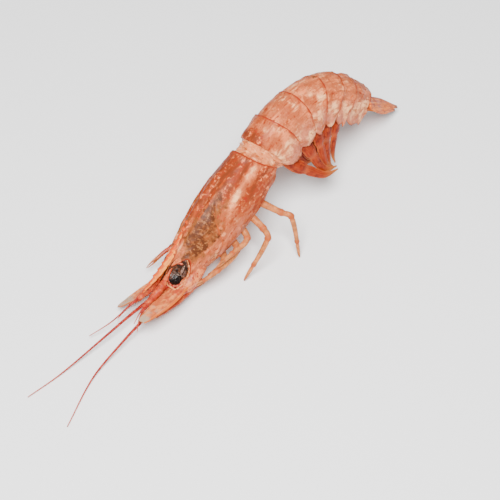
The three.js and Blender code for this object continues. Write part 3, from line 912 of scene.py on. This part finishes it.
def make_eyeball(side, size, outward):
    """A collapsed ball, flat outwards, low in the hollow."""
    ball, layers = ball_skin()
    middle = in_hollow(side, 0.42, -0.15, -1.1)
    for vert in ball.verts:
        out = vert.co.normalized()
        dents = unevenness(out * 4, 1.7, side) + 0.4 * unevenness(out * 4, 0.7, side + 2)
        ridges = abs(unevenness(out * 4, 1.1, side + 5))
        vert[layers["dusk"]] = 0.7 * ramp(-out.x + 0.4 * out.z, 0.3, 0.8)
        vert[layers["stain"]] = ramp(out.z, 0.5, 1.0)
        flattened = out - outward * out.dot(outward) * 0.5
        vert.co = middle + flattened * size * (1 + 0.12 * (dents - 0.8 * ridges))
    return ball


def make_eye(name, radius):
    """A collapsed black eye low in a dark, shrunken hollow, with a red muscle over it and a pale torn rim."""
    side = 1 if name == "eye_left" else -1
    outward = Vector((HOLLOW_OUT.x, side * HOLLOW_OUT.y, HOLLOW_OUT.z))
    finish_piece(f"{name}_socket", make_hollow(side), SOCKET_SKIN, "soft")
    finish_piece(f"{name}_ball", make_eyeball(side, radius - 0.5, outward), EYE_SKIN, "eye", name)
    rim_turns = [radians(turn) for turn in range(-80, 151, 23)]
    rim = [(cos(t) * (1 + 0.06 * sin(t * 5)), sin(t) * 1.02, 0.15) for t in rim_turns]
    band_turns = [radians(turn) for turn in range(-60, 61, 24)]
    band = [(cos(t) * 0.86, sin(t) * 0.86, -0.25) for t in band_turns]
    strips = {
        "socket_edge": (0.3, LID_SKIN, rim),
        "socket_band": (0.4, STALK_SKIN, band),
        "stalk": (0.5, STALK_SKIN, [(-0.62, -0.5, -0.3), (-0.6, -0.1, -0.5), (-0.52, 0.32, -0.6)]),
        "film": (0.5, FILM_SKIN, [(-0.5, 0.5, -0.6), (-0.22, 0.4, -0.5), (0.1, 0.35, -0.5)]),
        "film_fold": (0.3, FILM_SKIN, [(-0.8, 0.0, -0.4), (-0.74, 0.5, -0.3), (-0.4, 0.82, -0.2)]),
    }
    for number, (label, (thick, material, stops)) in enumerate(strips.items(), 1):

        def width(share):
            return 0.12 + thick * sin(pi * share) ** 0.6

        def tatters(share, angle, length):
            tear = sin(share * length * 2.3 + number) * sin(angle * 2 + share * 9)
            return thick * (0.25 * tear + 0.1 * sin(angle * 4))

        points = [in_hollow(side, *stop) for stop in stops]
        skin = rod(points, 60, 12, width, broad=outward, relief=tatters)
        finish_piece(f"{name}_{label}", skin, material, "soft")


def sided(side, points):
    """Points of a limb on the left, or mirrored to the right."""
    return [(x, side * y, z) for x, y, z in points]


def make_antenna_roots():
    """The stout lowest joints of the long feelers, on the cheeks under the eyes."""
    width = through([(0, 2.6), (0.3, 3.1), (0.62, 2.8), (0.7, 2.3), (1, 1.2)])
    for name, side in SIDES:
        points = sided(side, [(45, 4.6, -4.2), (51, 5.6, -3.9), (57, 5.6, -2.8), (62, 5, -1.0)])
        skin = rod(points, 48, 32, width, broad=UPWARDS,
                   relief=lambda s, a, n: 0.1 * sin(s * 9 + a * 2) + 0.14 * sin(a * 5 + s * 12),
                   marks=lambda s, a: {"dusk": 0.15 * bump(s, 0.66, 0.04)})
        finish_piece(f"antenna_root_{name}", skin, FACE_SKIN, "soft")


# ---------------- neck
def make_neck():
    """The soft, wrinkled collar that shows between the carapace and the first segment."""

    def place(station, angle):
        rear = neck_rear(angle) - 1.2
        front = rim_at(angle) + 2.0
        x = lerp(rear, front, station)
        spot = Vector((x, 12 * sin(angle), 12 * cos(angle)))
        folds = 0.8 * unevenness(Vector((x * 2.2, spot.y * 0.8, spot.z * 0.8)), 3.2, 8)
        wrinkle = folds + 0.16 * unevenness(spot, 1.2, 9)
        sag = -0.65 - 0.7 * bump(station, 0.5, 0.26)
        point = head_section(x, angle, sag + wrinkle)
        rim = abs(x - rim_at(angle)) * 1.2
        return point, {"along": station, "rim": rim, "length": x, "girth": angle * GIRTH}

    finish_piece("neck_membrane", sleeve(even(0, 1, 48), 140, place), NECK_SKIN, "soft", "neck")


# ---------------- abdomen
HALF_WIDTH = through([(0, 9), (14, 9.5), (30, 9), (50, 8.3), (67, 6.8), (78, 5.6), (87, 3.8)])
BACK_HEIGHT = through([(0, 11.2), (12, 11.7), (30, 9.9), (50, 9), (67, 7.1), (78, 6), (87, 4.4)])
SIDE_DROP = through([(0, 11.2), (30, 12.2), (50, 11.6), (62, 11), (72, 9.8), (80, 7.6), (87, 4.6)])
BELLY_DEPTH = through([(0, 8.4), (50, 7.4), (67, 6.2), (87, 4.2)])
LOBE_TIP = 0.75 * pi


def ring_point(angle, place, lobe, grow):
    """One ring of the abdomen: an arched back, side plates that hang down, and a belly between them."""
    around, side = abs(angle), (1 if angle >= 0 else -1)
    wide = HALF_WIDTH(place) + grow
    drop = SIDE_DROP(place) * lobe + grow
    if around <= pi / 2:
        high = BACK_HEIGHT(place) + grow
        return side * wide * sin(around) ** 0.9, high * max(cos(around), 0) ** 0.9
    if around <= LOBE_TIP:
        t = (around - pi / 2) / (LOBE_TIP - pi / 2)
        return side * wide * (1 - 0.15 * t * t), -drop * t
    t = (around - LOBE_TIP) / (pi - LOBE_TIP)
    inner = ramp(t, 0, 0.32)
    return side * wide * 0.85 * (1 - t), lerp(-drop, -BELLY_DEPTH(place) - grow, inner)


def segment_start(i):
    return sum(SEGMENT_LENGTHS[:i])


LOBE_ROUNDING = [0.30, 0.30, 0.34, 0.36, 0.40, 0.3]
BACK_RIDGE = [0, 0, 0.3, 0.8, 1, 1.2]
REAR_FLARE = [0.4, 0.4, 0.5, 0.9, 1.3, 0.2]
BACK_STAIN = [0.34, 0.3, 0.14, 0.24, 0.3, 0.4]


def make_segment(i):
    """One overlapping ring of the abdomen: tucked in front, flared over the next one behind."""
    start, length = segment_start(i), SEGMENT_LENGTHS[i]
    last = i == len(SEGMENT_LENGTHS) - 1
    overlap = 0 if last else 1.5

    def place(station, angle):
        share = clamp(station)
        around = abs(angle)
        lean = 1 - max(cos(angle), 0)
        front = -neck_rear(angle) + 0.3 if i == 0 else start - 0.6 + BORDER_LEAN[i - 1] * lean
        rear = start + length + BORDER_LEAN[i] * lean + overlap * (0.8 + 0.2 * cos(angle))
        place_along = lerp(front, rear, share)
        tuck = 0.0
        if station > 1:  # the rim turns in under itself
            place_along -= (station - 1) * 2.5
            tuck = 0.55
        if station < 0:  # the front closes inside the segment before
            tuck = 0.6
        hidden_front = -0.85 * ramp(share, 0.14, 0.0) if i else -0.25 * ramp(share, 0.08, 0)
        belly_share = 1 - 0.6 * ramp(around, 1.6, 2.2)
        flare = REAR_FLARE[i] * (ramp(share, 0.35, 1.0) - 0.45) * belly_share
        hump = (0.6 if i > 2 else 0.15) * sin(pi * share) * ramp(cos(angle), 0, 0.7)
        roll = 0.2 * bump(share, 0.98, 0.025)
        ridge = 0.5 * bump(around, 0, 0.09) * BACK_RIDGE[i]
        lobe = 1 - LOBE_ROUNDING[i] * abs(2 * share - 1.04) ** 2.2
        spine = 0.22 * bump(share, 0.86, 0.07) if i > 3 else 0
        spot = point_at(place_along, 0, 12 * sin(angle), 12 * cos(angle))
        lumps = 0.3 * unevenness(spot, 7, 11 + i) + 0.14 * unevenness(spot, 2.4, 17 + i)
        crinkles = 0.1 * unevenness(Vector((place_along * 1.6, angle * 5, i)), 1.2, 31)
        crinkles *= ramp(i + share, 1.2, 3)
        low_folds = 0.4 * unevenness(Vector((spot.x * 1.8, spot.y, spot.z)), 4.2, 23 + i)
        low_folds *= ramp(around, 1.25, 1.8)
        hang = -0.9 * ramp(around, LOBE_TIP + 0.02, LOBE_TIP + 0.16)
        grow = hidden_front + flare + hump + roll + ridge + lumps + crinkles + low_folds + hang - tuck
        left, up = ring_point(angle, place_along, lobe + spine * ramp(around, 1.8, LOBE_TIP), grow)
        hinge = 0 if last else 0.04 * bump(around, 1.55, 0.08) * bump(share, 0.93, 0.05)
        point = point_at(place_along, 0, left * (1 + hinge), up)
        rear_line = rear - place_along if station <= 1 else 0
        lobe_line = abs(around - LOBE_TIP) * 9 + 0.5
        patch = ramp(cos(angle), 0.1, 0.95) * BACK_STAIN[i]
        front_patch = 0.8 * bump(share, 0.16, 0.2) * ramp(cos(angle), 0.5, 0.95) if i == 0 else 0
        streak = 0.35 * bump(share, 0.02, 0.1) * bump(around, 0.9, 0.3) if i == 0 else 0
        side_stain = 0.1 * bump(around, 1.9, 0.4)
        side_stain += 0.36 * bump(around, 1.15 + 0.25 * share, 0.2) * bump(share, 0.45, 0.3)
        smudge = 0.9 * bump(share, 0.95, 0.06) * bump(around, 0.1, 0.16) if i == 2 else 0
        ring_line = abs((Vector(((share - 0.9) * length, (around - 1.5) * GIRTH))).length - 1.3)
        pigment = 0.08 + patch + front_patch + streak + side_stain + 0.14 * ramp(share, 0.75, 1.0)
        marks = {
            "along": share, "rim": max(min(rear_line, lobe_line), 0), "dusk": smudge,
            "seam": ring_line + 0.2 if 0 < i < 5 else FAR, "length": place_along, "girth": angle * GIRTH,
            "stain": min(pigment, 1),
        }
        return point, marks

    stations = [-0.04] + even(0, 1, 50) + [1.12, 1.6]
    finish_piece(f"abdomen_shell_{i + 1}", sleeve(stations, 120, place), SHELL, "shell", f"abdomen_{i + 1}")


# ---------------- tail fan
def leaf(length, width, thick, blunt, ribs, lie):
    """A thin plate: lie(along, across, out) puts it on the body. ribs holds each rib's place and height."""

    def place(station, angle):
        root = 0.5 + 0.5 * ramp(station, -0.1, 0.36)
        taper = 1 - (1 - blunt) * ramp(station, 0.45, 1.02)
        half = width / 2 * root * taper * (1 - max(station - 0.93, 0) * 6.5 * min(blunt, 0.5))
        across = sin(angle)
        rise = cos(angle)
        high = thick / 2 * bent(rise, 0.5) * (1 - 0.55 * station)
        raised = sum(height * bump(across, middle, 0.13) for middle, height in ribs)
        high += raised * (1 if rise > 0 else 0) * ramp(station, 1.0, 0.75)
        outer = (1 - across * (1 if ribs[0][0] >= 0 else -1)) * half
        marks = {
            "along": station, "rim": (1 - abs(across)) * half, "seam": outer,
            "stain": min(raised * 2.2, 1) if rise > 0 else 0,
            "length": station * length, "girth": across * half,
        }
        return lie(station * length, across * half, high), marks

    return sleeve(even(0, 1, 60), 56, place)


def fan_lie(left, up, roll, turn, tip):
    """Lays a plate behind the abdomen, rolled about its length, turned to a side and tipped down."""
    forward, leftwards, upwards = axes_at(ABDOMEN_LENGTH + 0.35)
    root = point_at(ABDOMEN_LENGTH + 0.35, 0, left, up)
    axes = Matrix((-forward, -leftwards, upwards)).transposed()
    turned = Matrix.Rotation(radians(turn), 3, "Z") @ Matrix.Rotation(radians(tip), 3, "Y")
    turned = axes @ turned @ Matrix.Rotation(radians(roll), 3, "X")

    def lie(along, across, high):
        return root + turned @ Vector((along - 0.8, -across, high - 0.03 * across * across))

    return lie


def fringe_roots(lie, length, half, spread, count, hair):
    """Roots of hairs round the end of a leaf, spread degrees to each side of its tip."""
    roots = []
    for k, swing in enumerate(even(-1, 1, count)):
        angle = swing * radians(spread)
        along = length * (0.9 + 0.1 * cos(angle) - 0.34 * swing ** 2)
        across = half * sin(angle)
        here = lie(along, across, 0)
        ahead = lie(along + 1, across * 1.06, -0.06)
        reach = hair * (0.75 + 0.25 * noise.noise(Vector((k * 0.9, length, half))))
        roots.append((here, (ahead - here).normalized(), reach))
    return roots


# Length, width, thickness, how blunt its end is, then left, up, roll, turn and tip of each plate.
FAN_PLATES = {
    "telson": (TELSON_LENGTH, 6.2, 1.9, 0.1, 0, 2.4, 0, 4, 3),
    "uropod_inner_left": (UROPOD_LENGTH, 6.2, 0.9, 0.26, 4.2, 0.6, 50, 1.3, -1.7),
    "uropod_outer_left": (UROPOD_LENGTH * 0.97, 5.9, 0.9, 0.24, 6.4, -0.6, 62, 5.8, -0.8),
    "uropod_inner_right": (UROPOD_LENGTH * 0.97, 6.2, 0.9, 0.26, -4.2, 0.6, -50, -2.7, 2),
    "uropod_outer_right": (UROPOD_LENGTH * 0.97, 5.9, 0.9, 0.24, -6.4, -0.6, -62, -4.6, 5),
}


def make_tail_fan():
    """The middle spike and the four plates that fold down round it."""
    for name, (length, width, thick, blunt, left, up, roll, turn, tip) in FAN_PLATES.items():
        lie = fan_lie(left, up, roll, turn, tip)
        side = -1 if left > 0 else 1
        if name == "telson":
            plate = leaf(length + 0.8, width, thick, blunt, [(-0.32, 0.4), (0.32, 0.4)], lie)
            finish_piece("telson_spike", plate, TELSON_SHELL, "fan", name)
            continue
        ribs = [(side * 0.1, 0.3)] if "inner" in name else [(side * 0.5, 0.35), (side * -0.1, 0.25)]
        plate = leaf(length + 0.8, width, thick, blunt, ribs, lie)
        finish_piece(f"{name}_plate", plate, FAN, "fan", name)
        roots = fringe_roots(lie, length, width * blunt * 0.8, 84, 60, 0.8)
        hair_piece(f"{name}_fringe", roots, 0.07, "fan")


# ---------------- swimmerets
# The place of each, how far its tip lies from the bundle's middle, and x and z of its points.
SWIMMERETS = [
    (10.8, 8.4, [
        (-10.8, -6.8), (-11.8, -13.5), (-13.4, -18.5), (-15.2, -24), (-18, -30), (-23.5, -33.6),
    ]),
    (21.6, 6.8, [
        (-20.9, -7.1), (-21.1, -13.5), (-20.6, -18.5), (-19.6, -24.5), (-20.4, -30), (-24.4, -33.4),
    ]),
    (33.5, 5.2, [
        (-30.4, -9.4), (-28, -16), (-25.6, -21), (-23, -27), (-22.2, -31), (-24, -34.2),
    ]),
    (44.4, 3.6, [
        (-37.6, -13.8), (-33.4, -19), (-28.8, -24), (-25.4, -29), (-23.6, -32.6), (-24.4, -36),
    ]),
    (53.4, 2, [
        (-42.2, -19.4), (-38.4, -23), (-34, -26.6), (-30.6, -29.5), (-28, -32.5), (-26.5, -36),
    ]),
]
ROOT_OUT = 5
BUNDLE_MIDDLE = -1.2
STEM_WIDTH = through([(0, 2.3), (0.12, 2.7), (0.36, 2.7), (0.44, 1.9), (0.5, 2.1), (0.75, 1.4), (1, 0.3)])
STEM_DEPTH = through([(0, 1.0), (0.34, 1.05), (0.43, 0.7), (0.5, 0.75), (1, 0.2)])


def stem_ridges(share, angle, length):
    ridges = 0.12 * cos(angle * 4) + 0.05 * sin(angle * 9 + share * 4)
    return ridges * ramp(share, 0, 0.1) * ramp(share, 1, 0.8)


def stem_marks(share, angle):
    return {"rim": (1 - abs(sin(angle))) * 2.6, "length": share * 30, "girth": angle * 2.4,
            "stain": 0.7 * bump(share, 0.43, 0.04)}


def make_swimmeret(name, side, i):
    """A stout ridged stem, a tapering blade with a hairy edge and a thin inner branch."""
    place, tip_out, stops = SWIMMERETS[i]
    forward, leftwards, _ = axes_at(place)
    root_y = point_at(place, 0, 0, 0).y + side * ROOT_OUT
    tip_y = BUNDLE_MIDDLE + side * tip_out
    points = [(x, lerp(root_y, tip_y, n / (len(stops) - 1)), z) for n, (x, z) in enumerate(stops)]
    skin = rod(points, 70, 36, STEM_WIDTH, STEM_DEPTH, forward, stem_marks, stem_ridges)
    finish_piece(f"swimmeret_{i + 1}_{name}", skin, SWIMMERET, "swimmeret", f"pleopod_{i + 1}_{name}")
    _, path = route(points)
    inwards = leftwards * side * 0.9
    inner = [path(t) - forward * (0.8 + 1.4 * (t - 0.4)) - inwards for t in (0.4, 0.5, 0.62, 0.76, 0.9)]
    branch = rod(inner, 34, 12, lambda s: 0.75 * (1 - s) ** 0.8 + 0.1, broad=forward,
                 marks=lambda s, a: {"along": lerp(0.45, 1, s), "length": s * 14, "girth": a})
    finish_piece(f"swimmeret_branch_{i + 1}_{name}", branch, SWIMMERET, "swimmeret")

    def grow(k, run):
        hairs = []
        for way in (1, -1):
            out = forward * way
            reach = 1.2 * (0.7 + 0.3 * noise.noise(Vector((k * 0.7, i, side * way))))
            hairs.append((out * 0.9, run * 0.9 + out * 0.45, reach))
        return hairs

    roots = hairs_along(path, STEM_WIDTH, 0.5, 0.99, 46, grow)
    hair_piece(f"swimmeret_fringe_{i + 1}_{name}", roots, 0.05, "swimmeret")


# ---------------- legs
def on_floor(x, y, above):
    return (x, y, (FLOOR + above - x * STAND_UP.x - y * STAND_UP.y) / STAND_UP.z)


FOOT_RADIUS = 0.6
LEGS = {
    "leg_1_left": [(34, 4, -8), (38, 5.5, -12.5), (46, 3.8, -12.4), (53, 2, -11.2)],
    "leg_2_left": [(28, 4, -8), (31, 7.2, -13.2), (43, 8.5, -10), (54, 6.8, -5.8)],
    "leg_3_left": [(22, 4, -8), (25, 9, -12.6), (34, 10.2, -9.6), (42, 10.8, -6.6)],
    "leg_4_left": [(16, 4, -8), (18, 12, -14), (20.5, 16, -15.5), on_floor(38.8, 7.9, FOOT_RADIUS)],
    "leg_5_left": [(10, 4, -8), (8, 12, -17), (7, 15, -20), on_floor(16.8, 12.9, FOOT_RADIUS)],
    "leg_1_right": [(34, -4, -8), (38, -5.5, -12.5), (46, -3.8, -12.4), (53, -2, -11.2)],
    "leg_2_right": [(28, -4, -8), (32, -11.5, -11), (45, -12.6, -0.4), (58, -15.2, 1.8)],
    "leg_3_right": [(22, -4, -8), (25, -9, -14.2), (34, -9.5, -13.8), (43, -9, -12)],
    "leg_4_right": [(16, -4, -8), (17, -11.5, -12.5), (18.5, -15.5, -13), on_floor(27, -18, FOOT_RADIUS)],
    "leg_5_right": [(10, -4, -8), (7, -11.5, -12.5), (4, -16.5, -13), on_floor(2, -21, FOOT_RADIUS)],
}
PINCERS = ("leg_1", "leg_2", "leg_3")
FORK = 0.86  # the share of a pincer leg where its fingers begin
LEG_BROAD = Vector((0.3, 0.5, 1))
FINGER_SIDE = Vector((0.15, 0.35, 1)).normalized()


def joint_shares(points):
    """Where along a limb each of its bends lies."""
    lengths = [(Vector(b) - Vector(a)).length for a, b in zip(points, points[1:])]
    return [sum(lengths[: n + 1]) / sum(lengths) for n in range(len(lengths) - 1)]


def make_fingers(name, path, material):
    base, tip = path(FORK - 0.02), path(1)
    for finger, way in (("upper", 1), ("lower", -1)):
        bend = FINGER_SIDE * way
        stops = ((0, 0.25), (0.35, 0.85), (0.75, 0.75), (1, 0.3))
        points = [base.lerp(tip, share) + bend * out for share, out in stops]
        claw = rod(points, 20, 10, lambda s: 0.5 * (1 - s) + 0.12, broad=FINGER_SIDE,
                   marks=lambda s, a: {"along": lerp(FORK, 1, s)})
        finish_piece(f"{name}_{finger}_finger", claw, material, "leg")


def make_leg(name, points):
    """Stout joints with a knuckle at each bend, ending in a claw or a small pincer."""
    joints = joint_shares(points)
    joints.append(lerp(joints[-1], 1, 0.62))
    slim = through([(0, 1.7), (0.4, 1.25), (0.75, 0.92), (0.94, 0.62), (1, 0.3)])
    _, path = route(points)

    def width(share):
        knuckles = sum(0.24 * bump(share, at, 0.022) - 0.16 * bump(share, at + 0.035, 0.014) for at in joints)
        return slim(share) + knuckles

    def marks(share, angle):
        flush = sum(bump(share, joint, 0.035) for joint in joints)
        return {"stain": min(flush + 0.6 * ramp(share, 0.3, 0.0), 1)}

    if name[:5] in PINCERS:
        material = CHELA if name == "leg_2_right" else LEG
        hand = [path(t) for t in even(0, FORK, 12)]
        skin = rod(hand, 60, 20, lambda s: width(s * FORK), broad=Vector((0.2, 0.4, 1)),
                   marks=lambda s, a: {**marks(s * FORK, a), "along": s * FORK})
        finish_piece(f"{name}_shell", skin, material, "leg", name)
        make_fingers(name, path, material)
    else:
        skin = rod(points, 90, 20, width, broad=LEG_BROAD, marks=marks)
        finish_piece(f"{name}_shell", skin, LEG, "leg", name)

    def grow(k, run):
        across = run.cross(LEG_BROAD).normalized()
        out = (across * cos(k * 2.4) + run.cross(across) * sin(k * 2.4)).normalized()
        return [(out * 0.8, out * 0.8 + run * 0.7, 1.0)]

    hair_piece(f"{name}_hair", hairs_along(path, width, 0.42, 0.97, 34, grow), 0.045, "leg")


def make_maxilliped(name, side):
    """A leg-like mouthpart with hairs below and beside it."""
    points = sided(side, [(44, 2.6, -6), (51, 3.3, -8.4), (62, 4.6, -5.4), (73, 6.4, 0.4)])
    slim = through([(0, 1.5), (0.3, 1.6), (0.7, 1.1), (1, 0.2)])
    joints = [0.3, 0.62, 0.85]
    _, path = route(points)

    def width(share):
        return slim(share) + sum(0.18 * bump(share, joint, 0.03) for joint in joints)

    skin = rod(points, 70, 20, width, broad=UPWARDS,
               marks=lambda s, a: {"stain": 0.4 * sum(bump(s, joint, 0.05) for joint in joints)})
    finish_piece(f"{name}_shell", skin, PEDUNCLE, "leg", name)

    def grow(k, run):
        out = Vector((0, side * cos(k * 1.9), -abs(sin(k * 1.9)) - 0.2)).normalized()
        return [(out * 0.8, out * 0.9 + run * 0.6, 1.5)]

    hair_piece(f"{name}_hair", hairs_along(path, width, 0.25, 0.98, 90, grow), 0.05, "leg")


# ---------------- feelers
SCALE_TILT = radians(24)
SCALE_SPREAD = radians(7)
SCALE_LENGTH = 25.5
SCALE_WIDTH = 8.2


def make_scale(name, side):
    """A long thin plate that rises beside the rostrum, with a firm outer rib and a hairy inner edge."""
    spread = side * SCALE_SPREAD
    rise, run = sin(SCALE_TILT), cos(SCALE_TILT)
    origin = Vector((CARAPACE_LENGTH + 4.5, side * 5.5, -3.0))

    def lie(along, across, high):
        x, y = along * cos(spread) - across * sin(spread), along * sin(spread) + across * cos(spread)
        twist = 0.012 * along * across * side
        return origin + Vector((x * run - high * rise, y, x * rise + high * run - twist))

    plate = leaf(SCALE_LENGTH, SCALE_WIDTH, 1.0, 0.5, [(side * 0.8, 0.4), (side * 0.1, 0.25)], lie)
    finish_piece(f"{name}_plate", plate, SCALE_PLATE, "soft", name)
    roots = fringe_roots(lie, SCALE_LENGTH * 0.985, SCALE_WIDTH * 0.43, 86, 64, 1.6)
    hair_piece(f"{name}_fringe", roots, 0.07, "soft")


FEELERS = {
    "antennule_left": [(60, 2.6, 2), (67, 2.9, 4.6), (73, 3.4, 6.4), (80, 5, 6.8)],
    "antennule_right": [(60, -2.6, 2), (67, -2.9, 4.6), (74, -2.4, 7.6), (84.6, -4.2, 9.4), (94, -7.2, 11.9)],
    "antenna_left": [
        (58, 3.4, -3.6), (68, 3.4, 0.4), (76, 3.9, 3), (89, 4.1, 5.5), (106.3, 6.3, 9), (126.6, 16.2, 13.6),
    ],
    "antenna_right": [
        (58, -3.4, -3.6), (68, -3.4, 0.4), (78, -1.6, 5.6), (88, -1.1, 9.2), (112.3, -2.2, 16.4),
        (126.6, -2, 23.2),
    ],
}
RING_GAP = 0.9
RING_STEPS = 4
TWIN_RINGS = 15


def make_whip(name, points, rings, sides, width, groove, *nodes):
    """A tapering whip of short rings, each groove deep at a share of the way along."""
    skin = rod(points, rings * RING_STEPS + 1, sides, width, broad=Vector((0, 1, 0.2)),
               relief=lambda s, a, n: groove(s) * cos(s * rings * tau),
               marks=lambda s, a: {"rim": 0.5 - 0.5 * cos(s * rings * tau)})
    finish_piece(name, skin, WHIP, "feeler", *nodes)


def make_feeler(name, points):
    length, _ = route(points)
    thick = 1.05 if name.startswith("antenna_") else 0.8

    def width(share):
        return lerp(thick, 0.16, share ** 0.62)

    make_whip(f"{name}_whip", points, round(length / RING_GAP), 12, width, lambda s: 0.1 * width(s), name)


def make_peduncles():
    """The jointed roots of the short feelers, under the rostrum between the eyes, and their second whips."""
    joints = [0.42, 0.72, 0.9]
    slim = through([(0, 0.5), (0.25, 1.0), (0.5, 1.7), (0.75, 1.4), (1, 0.8)])

    def width(share):
        knuckles = sum(0.16 * bump(share, at, 0.03) - 0.2 * bump(share, at + 0.04, 0.02) for at in joints)
        return slim(share) + knuckles

    for name, side in SIDES:
        points = sided(side, [(53, 1.7, 5), (57, 2, 4.5), (62, 2.5, 4.2), (68, 2.9, 5.1), (72.5, 3.1, 6.4)])
        skin = rod(points, 60, 24, width, broad=UPWARDS,
                   marks=lambda s, a: {"stain": sum(bump(s, joint + 0.03, 0.03) for joint in joints)})
        finish_piece(f"antennule_root_{name}", skin, PEDUNCLE, "feeler")
        twin = sided(side, [(71, 3.6, 5.4), (74, 4.4, 6.2), (78, 5.6, 6), (82, 7.4, 5)])
        make_whip(f"antennule_twin_{name}", twin, TWIN_RINGS, 10,
                  lambda s: lerp(0.67, 0.12, s), lambda s: 0.05)


# ---------------- all the pieces
make_carapace()
make_rostrum()
make_face()
for eye_name, (eye_radius, _) in EYES.items():
    make_eye(f"eye_{eye_name}", eye_radius)
make_antenna_roots()
make_neck()
for number in range(len(SEGMENT_LENGTHS)):
    make_segment(number)
make_tail_fan()
for side_name, side_sign in SIDES:
    for number in range(len(SWIMMERETS)):
        make_swimmeret(side_name, side_sign, number)
for leg_name, leg_points in LEGS.items():
    make_leg(leg_name, leg_points)
for side_name, side_sign in SIDES:
    make_maxilliped(f"maxilliped_{side_name}", side_sign)
    make_scale(f"scale_{side_name}", side_sign)
for feeler_name, feeler_points in FEELERS.items():
    make_feeler(feeler_name, feeler_points)
make_peduncles()


# ---------------- floor, light and camera
FLOOR_GREY = (0.9, 0.9, 0.9, 1)
FLOOR_SIZE = 3
FLOOR_GAP = 0.0002
AMBIENT = 0.4
VIEW = {"azimuth": -54.6, "elevation": 54.1, "roll": 2.8, "distance": 0.517, "lens": 91.3,
        "target": (28.22, 11.58, -15.19)}


def make_floor():
    bm = bmesh.new()
    bmesh.ops.create_grid(bm, x_segments=1, y_segments=1, size=FLOOR_SIZE)
    mesh = bpy.data.meshes.new("floor")
    bm.to_mesh(mesh)
    bm.free()
    material = bpy.data.materials.new("pale_floor")
    material.use_nodes = True
    shader = material.node_tree.nodes["Principled BSDF"]
    fill(material.node_tree, shader, {"Base Color": FLOOR_GREY, "Roughness": 0.9, "Specular IOR Level": 0.1})
    mesh.materials.append(material)
    floor = add_object("floor", mesh)
    floor.location.z = -FLOOR_GAP
    floor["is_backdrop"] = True


def direction_from(azimuth, elevation):
    """The way to a viewer at an azimuth from -Y, turning towards +X, and an elevation above the floor."""
    azimuth, elevation = radians(azimuth), radians(elevation)
    return Vector((cos(elevation) * sin(azimuth), -cos(elevation) * cos(azimuth), sin(elevation)))


def make_light(name, azimuth, elevation, distance, size, power):
    data = bpy.data.lights.new(name, "AREA")
    data.shape = "DISK"
    data.size = size
    data.energy = power
    lamp = add_object(name, data)
    away = direction_from(azimuth, elevation)
    lamp.location = away * distance
    lamp.rotation_euler = away.to_track_quat("Z", "Y").to_euler()


def make_world():
    world = bpy.data.worlds.new("studio")
    world.use_nodes = True
    background = world.node_tree.nodes["Background"]
    fill(world.node_tree, background, {"Color": (1, 1, 1, 1), "Strength": AMBIENT})
    bpy.context.scene.world = world


def make_camera():
    data = bpy.data.cameras.new("camera")
    data.lens = VIEW["lens"]
    data.sensor_width = 36
    camera = add_object("camera", data)
    away = direction_from(VIEW["azimuth"], VIEW["elevation"])
    camera.location = TO_WORLD @ Vector(VIEW["target"]) + away * VIEW["distance"]
    aim = away.to_track_quat("Z", "Y")
    camera.rotation_euler = (aim.to_matrix() @ Matrix.Rotation(radians(VIEW["roll"]), 3, "Z")).to_euler()
    bpy.context.scene.camera = camera


make_floor()
make_light("key", azimuth=-62, elevation=66, distance=0.8, size=0.42, power=18)
make_light("fill", azimuth=20, elevation=30, distance=1.1, size=0.9, power=1.2)
make_world()
make_camera()

plain = {name: [list(corner) for corner in box] for name, box in (("cad", cad_bounds), ("visual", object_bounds()))}
